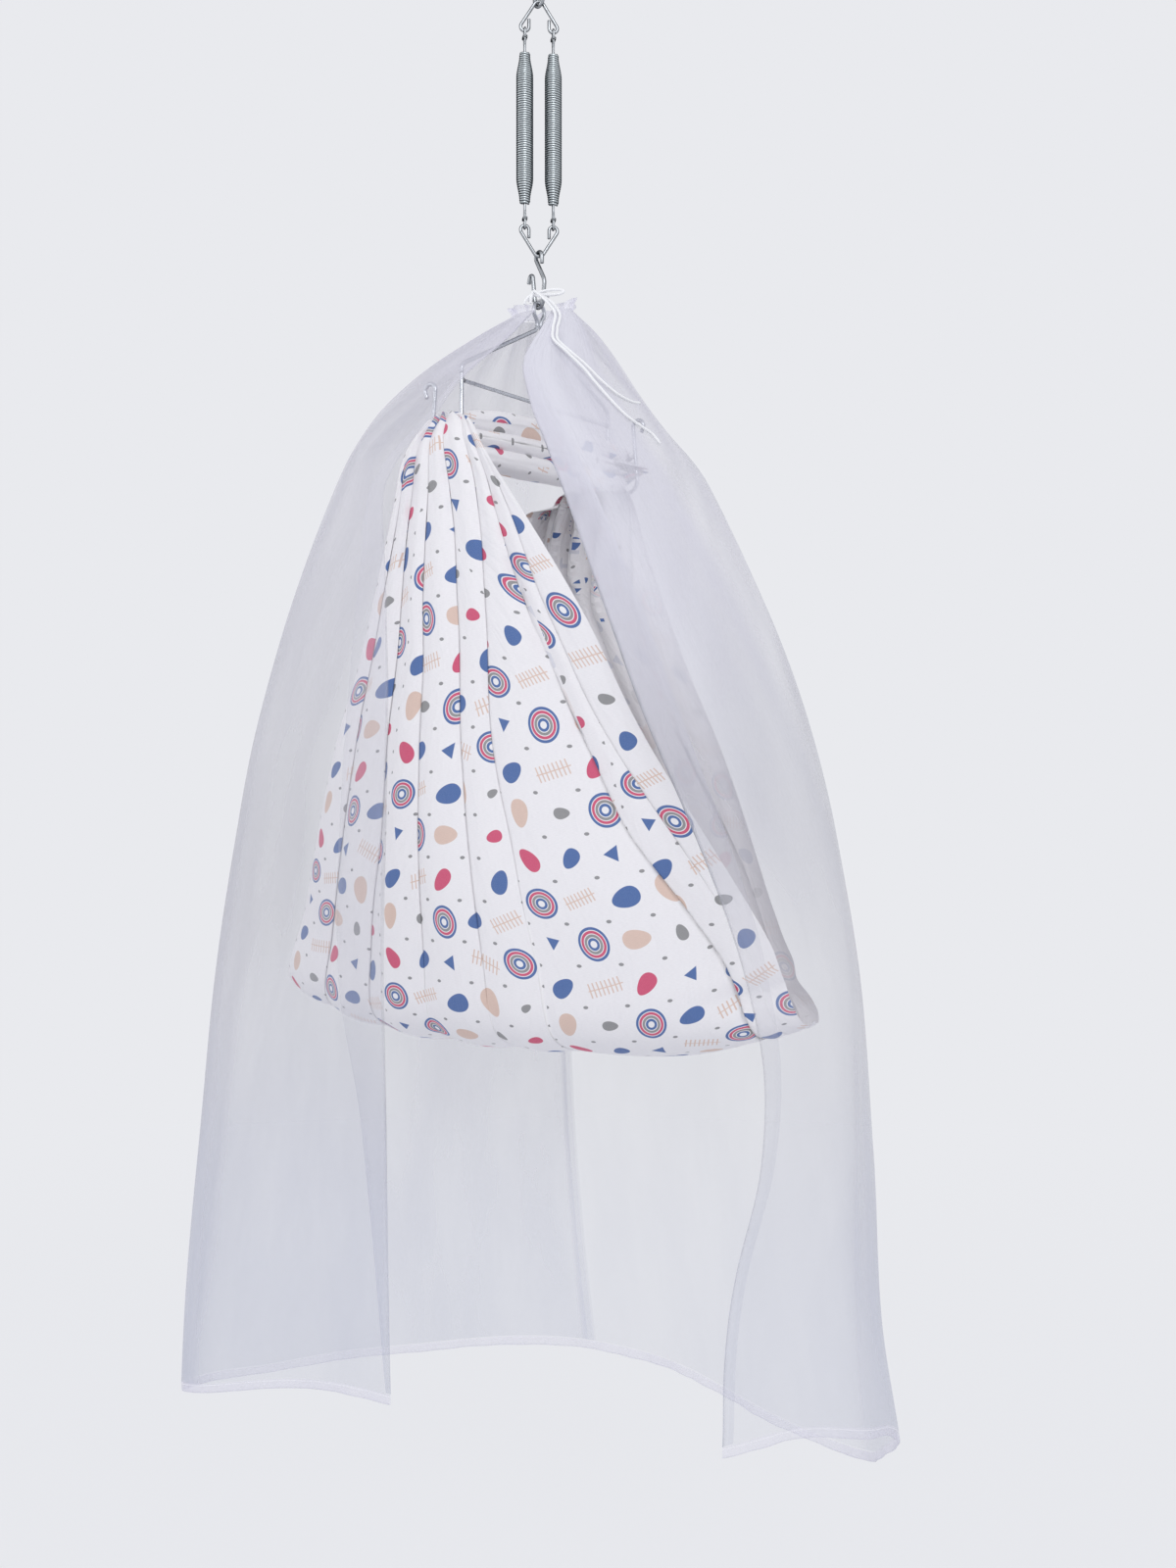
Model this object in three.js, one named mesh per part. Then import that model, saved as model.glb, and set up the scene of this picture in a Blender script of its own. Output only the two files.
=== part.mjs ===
// A hanging baby cradle: two extension springs between wire links, a bent-wire frame, a cloth sling
// and a net. Millimetres, +Z up. The origin is the seat in the top hook's upper bend, where a ceiling
// hook holds the cradle.
// +X runs along the sling, from the baby's head to its feet, and the front of the cradle faces -Y.

import * as THREE from "three";

// Wires, by diameter
const hookWire = 5.2;
const linkWire = 4.2;
const frameWire = 5;
const crossbarWire = 4.4;
const springWire = 2.8;
const loopWire = 2.8;

// Clearances
const seatGap = 0.3; // between pieces that hang on or touch each other
const crossingGap = 0.7; // between a link's apex and the hook that crosses it at a slant
const ringGap = 0.45; // between the lower hook and the frame's ring

// Directions, in degrees from +X
const linkYaw = 45; // the plane of both V-links
const hookYaw = -20; // the plane of both S-hooks
const frameYaw = 90; // the plane of the frame

// S-hooks
const hookDrop = 70.8; // from the top of the upper bend to the bottom of the lower one, centre to centre
const hookUpperRadius = 6.6;
const hookTail = 9;
const hookShankLean = 33; // degrees
const hookShoulderRadius = 14;
const hookLowerRadius = 9.2;
const hookLimbTaper = 8; // degrees
const hookFreeLimb = 34;
const hookTipRadius = 3.8;
const hookTipCurl = 155; // degrees
const hookTip = 7;

// V-links
const linkApexRadius = 6.8;
const linkEyeRadius = 5.4;
const linkEyeSpread = 18.4; // from the middle of the link to the middle of an eye
const linkEyeHeight = 33; // from the apex to the middle of an eye

// Extension springs
const springBodyRadius = 9.6; // to the wire's centre
const springConeRadius = 5.7;
const springBodyLength = 192;
const springTurns = 28;
const springConeTurns = 3;
const springStepsPerTurn = 8;
const springSides = 5;

// Swivel loops, which carry a spring in an eye
const loopReach = 28; // from the eye's wire to the first turn of the spring
const loopStraight = 11;
const loopNeckHalf = 2.25;
const loopInwardLean = 12; // degrees
const loopBendRadius = 4;
const loopInside = 17; // how far the legs run on, past the lean
const loopFootRadius = 2;
const loopFoot = 2.2;
const loopGap = 0.35; // round the eye's wire

// Collars round the legs of the swivel loops
const collarWall = 1.4;
const collarHeight = 3;
const collarDrop = 8.5; // from the eye's wire to the collar's middle
const collarBevel = 0.4;

// Cradle frame
const ringRadius = 11;
const ringSweep = 138; // degrees of the ring on each side of its top
const neckRadius = 11;
const armSlope = 26; // degrees below the horizontal
const cornerRadius = 12;
const cornerStub = 3;
const halfSpan = 158; // from the middle of the frame to a leg
const crossbarDrop = 9; // from the end of the hanger to the crossbar
const slingHookDepth = 103; // from the end of the hanger to the bottom of a sling hook
const slingHookWidth = 47;
const slingHookRadius = 16;
const uprightHeight = 70;
const uprightLean = 5; // degrees, towards the leg
const curlRadius = 8;
const curlTurn = 210; // degrees
const curlEnd = 6;

// Sling, a loop of cloth laid in both sling hooks
const clothThickness = 2.4;
const bunchWidth = 35;
const bunchHeight = 57;
const bunchSideGap = 1.2; // between the bunch and the leg
const strapRolls = 3;
const strapSwellShare = 0.2;
const strapCreaseShare = 0.16;
const strapSag = 7;
const slingDepth = 945; // from the top of the ring to the lowest point
const slingEndRise = 58; // how much higher the ends of the trough lie
const slingHalfLength = 410;
const slingCentreShift = -21; // of the trough's middle along X
const slingDomeReach = 46; // how far the cloth stands out in front of a leg
const slingDomeDrop = 30; // from the top of the bunch to where the dome turns down
const slingEndPinchShare = 0.62; // how much narrower the trough is at its ends
const slingOpeningShares = { from: 0.06, to: 0.3 }; // where the bunch has opened into folds
const slingClosingShare = 0.8; // where the folds begin to flatten towards the trough's bottom
const slingPinchShares = { from: 0.1, to: 0.85 }; // where the ends draw in
const slingRiseFromShare = 0.35; // where the ends begin to curve up
const slingFolds = 5;
const slingFoldDepth = 7;
const slingMiddleMove = 36; // how far the cloth's middle swings towards +X below the hook
const bunchRounding = 13; // how far the bunch's edges rise off the hook
const tangentShare = 0.01; // the step over which the cloth's direction is taken

// Net
const netThickness = 1.6;
const netNeckDrop = 16; // from the top of the ring
const netDrop = 1370; // from the top of the ring to the hem's mean height
const netLeftReach = 603;
const netRightReach = 470;
const netFrontReach = 216;
const netBackReach = 214;
const netFoldDepth = 9;
const netFolds = 8;
const netFoldFromShare = 0.3; // how far down the net its folds begin
const seamGap = 0.3;
const hemGap = 0.5;
const casingGap = 0.3;
const hemHeight = 12;
const hemThickness = 3.2;
const casingHeight = 9;
const casingThickness = 3;
const casingRuffle = 2.4;
const casingRuffles = 9;

// Drawcord
const cordDiameter = 3.6;
const tieClearance = 4.6; // beside the hook, so that the frame can rock
const tieHeight = 4; // above the middle of the hook's lower bend
const knotSide = -60; // degrees round the tie from the hook's plane
const knotWidth = 9;
const knotHeight = 8;
const knotWraps = 3;
const knotCreaseShare = 0.18;
const bowLength = 38;
const bowWidth = 12;
const bowTurn = 30; // degrees from the hook's plane
const bowDroop = 4; // degrees

// The drawcord's leads and tails, point by point from the knot, measured from the top of the ring
const leftLeadRoute = [
  [1.7, -18.8, 6],
  [-2.2, -21.6, 2.2],
  [-4.4, -24, -2.6],
  [-4.4, -24.2, -6.4],
];
const rightLeadRoute = [
  [5.1, -20.2, 5],
  [4.9, -23.6, 1.2],
  [4.8, -24.2, -2.6],
  [4.8, -24.4, -6.4],
];
const upperTailRoute = [
  [9.1, -19.3, 5.2],
  [15.6, -23.2, 1.6],
  [27, -27, -3],
  [41, -29, -13],
  [53, -30, -28],
  [70, -58.5, -57.5],
  [79.5, -70.5, -74],
  [92.5, -67.5, -87.5],
  [108, -55.5, -104],
  [124, -40.5, -125],
  [134.5, -19.5, -139],
  [137, 7.5, -143],
  [134, 28, -140],
];
const lowerTailRoute = [
  [8.5, -21.5, 9.2],
  [15, -28, 5.5],
  [27, -33, -3],
  [40, -35, -15],
  [49.5, -35, -27.5],
  [66.5, -62.5, -57],
  [77, -76, -74],
  [92, -72.5, -89.5],
  [111.5, -61, -112],
  [127, -54, -133],
  [141.5, -41.5, -154],
  [153, -28.5, -169.5],
  [159.5, -8, -178.5],
  [165, 8.5, -186],
  [172, 15, -197],
];

// Steps
const wireSides = 8;
const degreesPerStep = 24;
const cordSides = 8;
const cordStep = 2.5 * cordDiameter;

const hookToRing = (hookWire + frameWire) / 2 + ringGap; // between the centres of their wires
const facing = new THREE.Vector3(0, -1, 0); // flat wires are bent in the local XZ plane, seen from -Y
const radians = THREE.MathUtils.degToRad;

const galvanised = new THREE.MeshStandardMaterial({ color: 0x8d9695, roughness: 0.35, metalness: 0.9 });
const springSteel = new THREE.MeshStandardMaterial({ color: 0x7d8a88, roughness: 0.4, metalness: 0.85 });
const frameSteel = new THREE.MeshStandardMaterial({ color: 0x9a9ea6, roughness: 0.35, metalness: 0.85 });
const cotton = new THREE.MeshStandardMaterial({ color: 0xf2f2f4, roughness: 0.9, metalness: 0 });
const netting = new THREE.MeshStandardMaterial({ color: 0xdfe1ec, roughness: 0.8, metalness: 0 });
const cordWhite = new THREE.MeshStandardMaterial({ color: 0xf6f7fa, roughness: 0.85, metalness: 0 });

// A wire on a bending bench: it is fed straight ahead or bent round a former, and its centreline is kept.
class Bender {
  constructor(start, heading) {
    this.place = start.clone();
    this.heading = heading.clone().normalize();
    this.points = [start.clone()];
  }

  feed(length) {
    this.place.addScaledVector(this.heading, length);
    this.points.push(this.place.clone());
    return this;
  }

  // Positive degrees turn the wire anticlockwise as seen from the front.
  bend(radius, degrees) {
    const side = facing.clone().cross(this.heading).multiplyScalar(Math.sign(degrees));
    const centre = this.place.clone().addScaledVector(side, radius);
    const from = this.heading.clone();
    const steps = Math.max(2, Math.round(Math.abs(degrees) / degreesPerStep));
    for (let step = 1; step <= steps; step += 1) {
      const turned = radians((Math.abs(degrees) * step) / steps);
      const point = centre.clone().addScaledVector(side, -radius * Math.cos(turned));
      point.addScaledVector(from, radius * Math.sin(turned));
      this.points.push(point);
    }
    this.place = this.points[this.points.length - 1].clone();
    const whole = radians(Math.abs(degrees));
    this.heading = from.multiplyScalar(Math.cos(whole)).addScaledVector(side, Math.sin(whole));
    return this;
  }
}

// A path whose steps fall on the given points, so that straight stretches need no steps of their own.
class WirePath extends THREE.Curve {
  constructor(points) {
    super();
    this.points = points;
  }

  getPointAt(share) {
    const place = share * (this.points.length - 1);
    const index = Math.min(Math.floor(place), this.points.length - 2);
    return this.points[index].clone().lerp(this.points[index + 1], place - index);
  }

  getTangentAt(share, target = new THREE.Vector3()) {
    const index = Math.round(share * (this.points.length - 1));
    const before = this.points[Math.max(index - 1, 0)];
    const here = this.points[index];
    const after = this.points[Math.min(index + 1, this.points.length - 1)];
    const arriving = here.clone().sub(before).normalize();
    const leaving = after.clone().sub(here).normalize();
    return target.copy(arriving).add(leaving).normalize();
  }
}

function roundSection(diameter, sides) {
  const corners = [];
  for (let side = 0; side < sides; side += 1) {
    const turn = (side / sides) * Math.PI * 2;
    corners.push(new THREE.Vector2(Math.cos(turn), Math.sin(turn)).multiplyScalar(diameter / 2));
  }
  return new THREE.Shape(corners);
}

function wireGeometry(points, diameter, sides = wireSides) {
  return new THREE.ExtrudeGeometry(roundSection(diameter, sides), {
    steps: points.length - 1,
    bevelEnabled: false,
    extrudePath: new WirePath(points),
  });
}

function namedMesh(name, geometry, material) {
  const mesh = new THREE.Mesh(geometry, material);
  mesh.name = name;
  return mesh;
}

// The whole of a wire that is alike on both sides of X = 0, from its right half.
function bothHalves(rightHalf) {
  const leftHalf = rightHalf.slice(1).reverse();
  return [...leftHalf.map((point) => new THREE.Vector3(-point.x, point.y, point.z)), ...rightHalf];
}

function headingAt(degrees) {
  return new THREE.Vector3(Math.cos(radians(degrees)), 0, Math.sin(radians(degrees)));
}

// How far a clockwise bend carries the wire that enters it at one heading and leaves it at another.
function clockwiseShift(radius, enter, leave) {
  const shift = headingAt(enter - 90).sub(headingAt(leave - 90));
  return shift.multiplyScalar(radius);
}

// The S-hook, with the middle of its upper bend's top at the local origin.
function hookGeometry() {
  const shankHeading = 270 + hookShankLean;
  const limbHeading = 270 - hookLimbTaper;
  const start = new THREE.Vector3(hookUpperRadius, 0, -hookUpperRadius - hookTail);
  const wire = new Bender(start, headingAt(90)).feed(hookTail).bend(hookUpperRadius, 180 + hookShankLean);
  const bottom = new THREE.Vector3(0, 0, -hookDrop);
  const left = bottom.clone().sub(wire.place);
  left.sub(clockwiseShift(hookShoulderRadius, shankHeading, limbHeading));
  left.sub(clockwiseShift(hookLowerRadius, limbHeading, 180));
  const shank = headingAt(shankHeading);
  const limb = headingAt(limbHeading);
  const spread = shank.x * limb.z - shank.z * limb.x;
  const shankLength = (left.x * limb.z - left.z * limb.x) / spread;
  const limbLength = (shank.x * left.z - shank.z * left.x) / spread;
  wire.feed(shankLength).bend(hookShoulderRadius, -hookShankLean - hookLimbTaper).feed(limbLength);
  wire.bend(hookLowerRadius, -180 + 2 * hookLimbTaper).feed(hookFreeLimb);
  wire.bend(hookTipRadius, hookTipCurl).feed(hookTip);
  return wireGeometry(wire.points, hookWire);
}

// The V-link, with the middle of its apex at the local origin and its eyes above.
function linkGeometry() {
  const across = linkEyeSpread;
  const along = linkEyeHeight - linkApexRadius;
  const between = Math.hypot(across, along);
  const narrowing = linkApexRadius - linkEyeRadius;
  const lean = Math.acos(narrowing / between) - Math.atan2(along, across); // of the leg, from the vertical
  const legLength = Math.sqrt(between ** 2 - narrowing ** 2);
  const inner = linkEyeSpread - linkEyeRadius;
  const legLine = linkApexRadius * (1 - Math.sin(lean));
  const tailEnd = (linkWire + seatGap - legLine + inner * Math.cos(lean)) / Math.sin(lean);
  const leanDegrees = THREE.MathUtils.radToDeg(lean);
  const wire = new Bender(new THREE.Vector3(), headingAt(0));
  wire.bend(linkApexRadius, 90 - leanDegrees).feed(legLength);
  wire.bend(linkEyeRadius, 180 + leanDegrees).feed(linkEyeHeight - tailEnd);
  return wireGeometry(bothHalves(wire.points), linkWire);
}

// The bent loop that passes through an eye, which lies at the local origin, with its feet below.
function swivelLoopGeometry() {
  const bendRadius = linkWire / 2 + loopGap + loopWire / 2;
  const lean = radians(loopInwardLean);
  const inward = bendRadius - loopNeckHalf - 2 * loopBendRadius * (1 - Math.cos(lean));
  const wire = new Bender(new THREE.Vector3(0, 0, bendRadius), headingAt(0));
  wire.bend(bendRadius, -90).feed(loopStraight).bend(loopBendRadius, -loopInwardLean);
  wire.feed(inward / Math.sin(lean)).bend(loopBendRadius, loopInwardLean).feed(loopInside);
  wire.bend(loopFootRadius, 90).feed(loopFoot);
  return wireGeometry(bothHalves(wire.points), loopWire);
}

function stadium(halfStraight, radius, Outline) {
  const outline = new Outline();
  outline.absarc(halfStraight, 0, radius, -Math.PI / 2, Math.PI / 2, false);
  outline.absarc(-halfStraight, 0, radius, Math.PI / 2, (3 * Math.PI) / 2, false);
  return outline;
}

// The band round both legs of a swivel loop, centred on the local origin.
function collarGeometry() {
  const halfStraight = linkWire / 2 + seatGap + loopWire / 2;
  const innerRadius = loopWire / 2 + seatGap;
  const band = stadium(halfStraight, innerRadius + collarWall - collarBevel, THREE.Shape);
  band.holes.push(stadium(halfStraight, innerRadius + collarBevel, THREE.Path));
  const geometry = new THREE.ExtrudeGeometry(band, {
    depth: collarHeight - 2 * collarBevel,
    bevelThickness: collarBevel,
    bevelSize: collarBevel,
    bevelSegments: 1,
    curveSegments: 6,
  });
  return geometry.translate(0, 0, collarBevel - collarHeight / 2);
}

// How wide the spring is at a turn: its first and last turns close in to a cone.
function springRadiusAt(turn) {
  const fromEnd = Math.min(turn, springTurns - turn) / springConeTurns;
  const opened = Math.sin(Math.min(fromEnd, 1) * (Math.PI / 2));
  return springConeRadius + (springBodyRadius - springConeRadius) * opened;
}

function springPoints() {
  const points = [];
  const steps = springTurns * springStepsPerTurn;
  for (let step = 0; step <= steps; step += 1) {
    const turn = step / springStepsPerTurn;
    const angle = turn * Math.PI * 2;
    const radius = springRadiusAt(turn);
    const drop = (springBodyLength * step) / steps;
    points.push(new THREE.Vector3(radius * Math.cos(angle), radius * Math.sin(angle), -drop));
  }
  return points;
}

// The least gap between two turns of a wound wire, measured between its points.
function leastGap(points, wire, apart) {
  let least = Infinity;
  for (let first = 0; first < points.length; first += 1) {
    for (let second = first + apart; second < points.length; second += 1) {
      least = Math.min(least, points[first].distanceTo(points[second]) - wire);
    }
  }
  return least;
}

// One spring with a swivel loop and a collar at each end, hung from the eye at the local origin.
function springAssembly(side) {
  const group = new THREE.Group();
  const points = springPoints();
  const gap = leastGap(points, springWire, springStepsPerTurn / 2);
  console.log(`${side} spring: least gap between turns ${gap.toFixed(2)} mm`);
  const coil = namedMesh(`${side}_spring_coil`, wireGeometry(points, springWire, springSides), springSteel);
  coil.position.z = -loopReach;
  group.add(coil);
  for (const end of ["upper", "lower"]) {
    const place = new THREE.Group();
    const loop = namedMesh(`${side}_${end}_swivel_loop`, swivelLoopGeometry(), galvanised);
    const collar = namedMesh(`${side}_${end}_collar`, collarGeometry(), galvanised);
    collar.position.z = -collarDrop;
    place.add(loop, collar);
    place.rotation.order = "ZYX";
    place.rotation.z = Math.PI / 2;
    if (end === "lower") {
      place.position.z = -2 * loopReach - springBodyLength;
      place.rotation.x = Math.PI;
    }
    group.add(place);
  }
  return group;
}

// The hanger: a ring, two sloping arms and two corners, with the top of the ring at the local origin.
function hangerWire() {
  const wire = new Bender(new THREE.Vector3(), headingAt(0));
  wire.bend(ringRadius, -ringSweep).bend(neckRadius, ringSweep - armSlope);
  const corner = cornerRadius * (1 - Math.sin(radians(armSlope)));
  wire.feed((halfSpan - corner - wire.place.x) / Math.cos(radians(armSlope)));
  wire.bend(cornerRadius, armSlope - 90).feed(cornerStub);
  return wire;
}

const hangerEnd = hangerWire().place.z; // where the legs begin, below the top of the ring
const slingHookBottom = hangerEnd - slingHookDepth;

// A leg, its U-hook and the curled end, with the top of the leg at the local origin.
function slingHookGeometry() {
  const wire = new Bender(new THREE.Vector3(0, 0, -seatGap), headingAt(270));
  wire.feed(slingHookDepth - slingHookRadius - seatGap).bend(slingHookRadius, -90);
  wire.feed(slingHookWidth - 2 * slingHookRadius).bend(slingHookRadius, -90 - uprightLean);
  wire.feed(uprightHeight).bend(curlRadius, curlTurn).feed(curlEnd);
  return wireGeometry(wire.points, frameWire);
}

function frameGroup() {
  const group = new THREE.Group();
  const hangerShape = wireGeometry(bothHalves(hangerWire().points), frameWire);
  const hanger = namedMesh("frame_hanger", hangerShape, frameSteel);
  hanger.rotation.z = radians(frameYaw);
  group.add(hanger);
  for (const side of ["front", "back"]) {
    const turned = new THREE.Group();
    const hook = namedMesh(`${side}_sling_hook`, slingHookGeometry(), frameSteel);
    hook.position.set(0, -halfSpan, hangerEnd);
    turned.add(hook);
    turned.rotation.z = side === "back" ? Math.PI : 0;
    group.add(turned);
  }
  const barLength = 2 * (halfSpan - frameWire / 2 - seatGap);
  const bar = new THREE.CylinderGeometry(crossbarWire / 2, crossbarWire / 2, barLength, wireSides);
  const crossbar = namedMesh("frame_crossbar", bar, frameSteel);
  crossbar.position.z = hangerEnd - crossbarDrop;
  group.add(crossbar);
  return group;
}

// A closed solid between two grids of points: every row runs across and every grid starts at the same corner.
function solidBetween(outer, inner) {
  const rows = outer.length;
  const columns = outer[0].length;
  const positions = [];
  for (const point of [...outer.flat(), ...inner.flat()]) positions.push(point.x, point.y, point.z);
  const innerStart = rows * columns;
  const faces = [];
  const quad = (a, b, c, d) => faces.push(a, b, c, a, c, d);
  for (let row = 0; row < rows - 1; row += 1) {
    for (let column = 0; column < columns - 1; column += 1) {
      const here = row * columns + column;
      const below = here + columns;
      quad(here, below, below + 1, here + 1);
      quad(innerStart + here, innerStart + here + 1, innerStart + below + 1, innerStart + below);
    }
  }
  const rim = [];
  for (let column = 0; column < columns - 1; column += 1) rim.push(column);
  for (let row = 0; row < rows - 1; row += 1) rim.push(row * columns + columns - 1);
  for (let column = columns - 1; column > 0; column -= 1) rim.push((rows - 1) * columns + column);
  for (let row = rows - 1; row > 0; row -= 1) rim.push(row * columns);
  rim.forEach((from, index) => {
    const to = rim[(index + 1) % rim.length];
    quad(from, to, innerStart + to, innerStart + from);
  });
  const geometry = new THREE.BufferGeometry();
  geometry.setAttribute("position", new THREE.Float32BufferAttribute(positions, 3));
  geometry.setIndex(faces);
  geometry.computeVertexNormals();
  return geometry;
}

// A smooth line through values that stand at rising shares from 0 to 1.
function valueAt(shares, values, share) {
  const last = shares.length - 1;
  let index = 0;
  while (index < last - 1 && share > shares[index + 1]) index += 1;
  const span = shares[index + 1] - shares[index];
  const within = THREE.MathUtils.clamp((share - shares[index]) / span, 0, 1);
  const slopeAt = (place) => {
    const low = Math.max(place - 1, 0);
    const high = Math.min(place + 1, last);
    return ((values[high] - values[low]) / (shares[high] - shares[low])) * span;
  };
  const cubed = within ** 3;
  const squared = within ** 2;
  const fromStart = (2 * cubed - 3 * squared + 1) * values[index];
  const fromEnd = (3 * squared - 2 * cubed) * values[index + 1];
  const bending = (cubed - 2 * squared + within) * slopeAt(index) + (cubed - squared) * slopeAt(index + 1);
  return fromStart + fromEnd + bending;
}

// Sling: its rows run from inside the hook over the dome and down to the trough's bottom.
const bunchBottom = slingHookBottom + frameWire / 2 + seatGap;
const bunchTop = bunchBottom + bunchHeight;
const bunchCentre = -(frameWire + bunchWidth) / 2 - bunchSideGap;
const panelStart = halfSpan - frameWire;
const panelOver = halfSpan + frameWire;
const domeEdge = halfSpan + slingDomeReach;
const slingRowShares = [0, 0.02, 0.045, 0.08, 0.13, 0.2, 0.3, 0.42, 0.55, 0.68, 0.79, 0.87, 0.93, 0.97, 1];

// The outer face beyond the hook's wire: how far out, as shares of the dome's edge, and how far down.
const slingOuterShares = {
  row: [0, 0.02, 0.045, 0.08, 0.13, 0.3, 0.68, 0.87, 0.93, 0.97, 1],
  outward: [0.92, 1, 1, 0.97, 0.84, 0.66, 0.53, 0.31, 0],
  drop: [0.015, 0.055, 0.13, 0.33, 0.71, 0.9, 0.96, 0.99, 1],
};

// The inner face of the rows where the cloth is a thick bunch: how far out and down, as shares of the dome.
const slingInnerShares = { outward: [0.15, 0.5, 0.78], drop: [0.2, 1, 2.2] };

// How wide the cloth has fanned out, as shares of half the trough's length, and how far its middle has moved.
const slingFanShares = {
  row: [0, 0.02, 0.045, 0.08, 0.13, 0.3, 0.49, 0.83, 1],
  width: [0.09, 0.14, 0.21, 0.4, 0.58, 0.87, 1],
};
const slingMiddleShares = [0.6, 0.8, 1, 1.1, 0.7, 0.6, 0];

// The outer face's distance from the frame's middle and its height, at a share of the way down.
function slingOuter(share) {
  const outward = [panelStart, panelOver, ...slingOuterShares.outward.map((part) => part * domeEdge)];
  const fall = bunchTop + slingDepth;
  const height = [bunchTop, bunchTop, ...slingOuterShares.drop.map((part) => bunchTop - part * fall)];
  const rows = slingOuterShares.row;
  return new THREE.Vector2(valueAt(rows, outward, share), valueAt(rows, height, share));
}

// The inner face over the gathered rows, which rest on the wire of the sling hook.
function slingInner(row) {
  const beyond = slingInnerShares.outward.map((part) => halfSpan + part * slingDomeReach);
  const below = slingInnerShares.drop.map((part) => bunchBottom - part * slingDomeDrop);
  const outward = [panelStart, panelOver, ...beyond];
  const height = [bunchBottom, bunchBottom, ...below];
  return new THREE.Vector2(outward[row], height[row]);
}

// Half the cloth's width and the place of its middle along X, at a share of the way down.
function slingFan(share, centreShift) {
  const hooked = bunchWidth / 2;
  const widths = [hooked, hooked, ...slingFanShares.width.map((part) => part * slingHalfLength)];
  const moved = slingMiddleShares.map((part) => part * slingMiddleMove);
  const middles = [bunchCentre, bunchCentre, ...moved.map((distance) => distance + centreShift)];
  const rows = slingFanShares.row;
  return { half: valueAt(rows, widths, share), middle: valueAt(rows, middles, share) };
}

// A point of the front half: across is -1 at one selvedge and 1 at the other, and inside is true on
// the inner face.
function slingPoint(across, row, inside, centreShift) {
  const share = slingRowShares[row];
  const gathered = inside && slingInnerShares.outward.length + 1 >= row;
  const line = gathered ? slingInner(row) : slingOuter(share);
  const ahead = slingOuter(Math.min(share + tangentShare, 1));
  const tangent = ahead.sub(slingOuter(Math.max(share - tangentShare, 0))).normalize();
  const opening = THREE.MathUtils.smoothstep(share, slingOpeningShares.from, slingOpeningShares.to);
  const closing = 1 - THREE.MathUtils.smoothstep(share, slingClosingShare, 1);
  const fold = slingFoldDepth * opening * closing * Math.cos(across * slingFolds * Math.PI);
  const depth = (inside && !gathered ? clothThickness : 0) - fold;
  const { from, to } = slingPinchShares;
  const drawnIn = THREE.MathUtils.clamp((share - from) / (to - from), 0, 1);
  const narrowing = slingEndPinchShare * across ** 2 * drawnIn;
  const rounding = gathered ? bunchRounding * across ** 4 : -bunchRounding * across ** 4 * (1 - opening);
  const curving = Math.abs(across) ** 3 * THREE.MathUtils.smoothstep(share, slingRiseFromShare, 1);
  const rise = slingEndRise * curving + rounding;
  const fan = slingFan(share, centreShift);
  const outward = Math.max(line.x * (1 - narrowing) + depth * tangent.y, seamGap / 2);
  return new THREE.Vector3(fan.middle + across * fan.half, -outward, line.y + rise - depth * tangent.x);
}

function slingHalfGeometry(columns, centreShift) {
  const place = (column) => (2 * column) / columns - 1;
  const grid = (inside) =>
    slingRowShares.map((_, row) =>
      Array.from({ length: columns + 1 }, (_, column) => slingPoint(place(column), row, inside, centreShift)),
    );
  return solidBetween(grid(false), grid(true));
}

// The strap: the bunched cloth between the two hooks, three rolls deep.
function strapGeometry() {
  const half = panelStart - seatGap;
  const stations = 8;
  const corners = 14;
  const rings = [];
  for (let station = 0; station <= stations; station += 1) {
    const along = (2 * station) / stations - 1;
    const centre = -along * bunchCentre;
    const sag = strapSag * (1 - along ** 2);
    const swell = 1 + strapSwellShare * (1 - along ** 2);
    const ring = [];
    for (let corner = 0; corner < corners; corner += 1) {
      const turn = ((corner + 0.5) / corners) * Math.PI * 2;
      const rolls = 1 - strapCreaseShare * Math.abs(Math.sin(Math.cos(turn) * strapRolls * (Math.PI / 2)));
      const wide = Math.sin(turn) * (bunchWidth / 2) * swell * rolls;
      const high = (Math.cos(turn) * bunchHeight) / 2;
      ring.push(new THREE.Vector3(centre + wide, along * half, bunchBottom + bunchHeight / 2 + high - sag));
    }
    rings.push(ring);
  }
  return solidOfRings(rings);
}

// A closed solid through rings of points that all run the same way, with a flat end at both.
function solidOfRings(rings) {
  const corners = rings[0].length;
  const positions = [];
  for (const point of rings.flat()) positions.push(point.x, point.y, point.z);
  const faces = [];
  for (let ring = 0; ring < rings.length - 1; ring += 1) {
    for (let corner = 0; corner < corners; corner += 1) {
      const here = ring * corners + corner;
      const next = ring * corners + ((corner + 1) % corners);
      faces.push(here, next, next + corners, here, next + corners, here + corners);
    }
  }
  const last = (rings.length - 1) * corners;
  for (let corner = 1; corner < corners - 1; corner += 1) {
    faces.push(0, corner + 1, corner, last, last + corner, last + corner + 1);
  }
  const geometry = new THREE.BufferGeometry();
  geometry.setAttribute("position", new THREE.Float32BufferAttribute(positions, 3));
  geometry.setIndex(faces);
  geometry.computeVertexNormals();
  return geometry;
}

function slingGroup() {
  const group = new THREE.Group();
  const front = namedMesh("sling_front_half", slingHalfGeometry(24, slingCentreShift), cotton);
  const back = namedMesh("sling_back_half", slingHalfGeometry(18, -slingCentreShift), cotton);
  back.rotation.z = Math.PI;
  group.add(front, back, namedMesh("sling_strap", strapGeometry(), cotton));
  return group;
}

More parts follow.
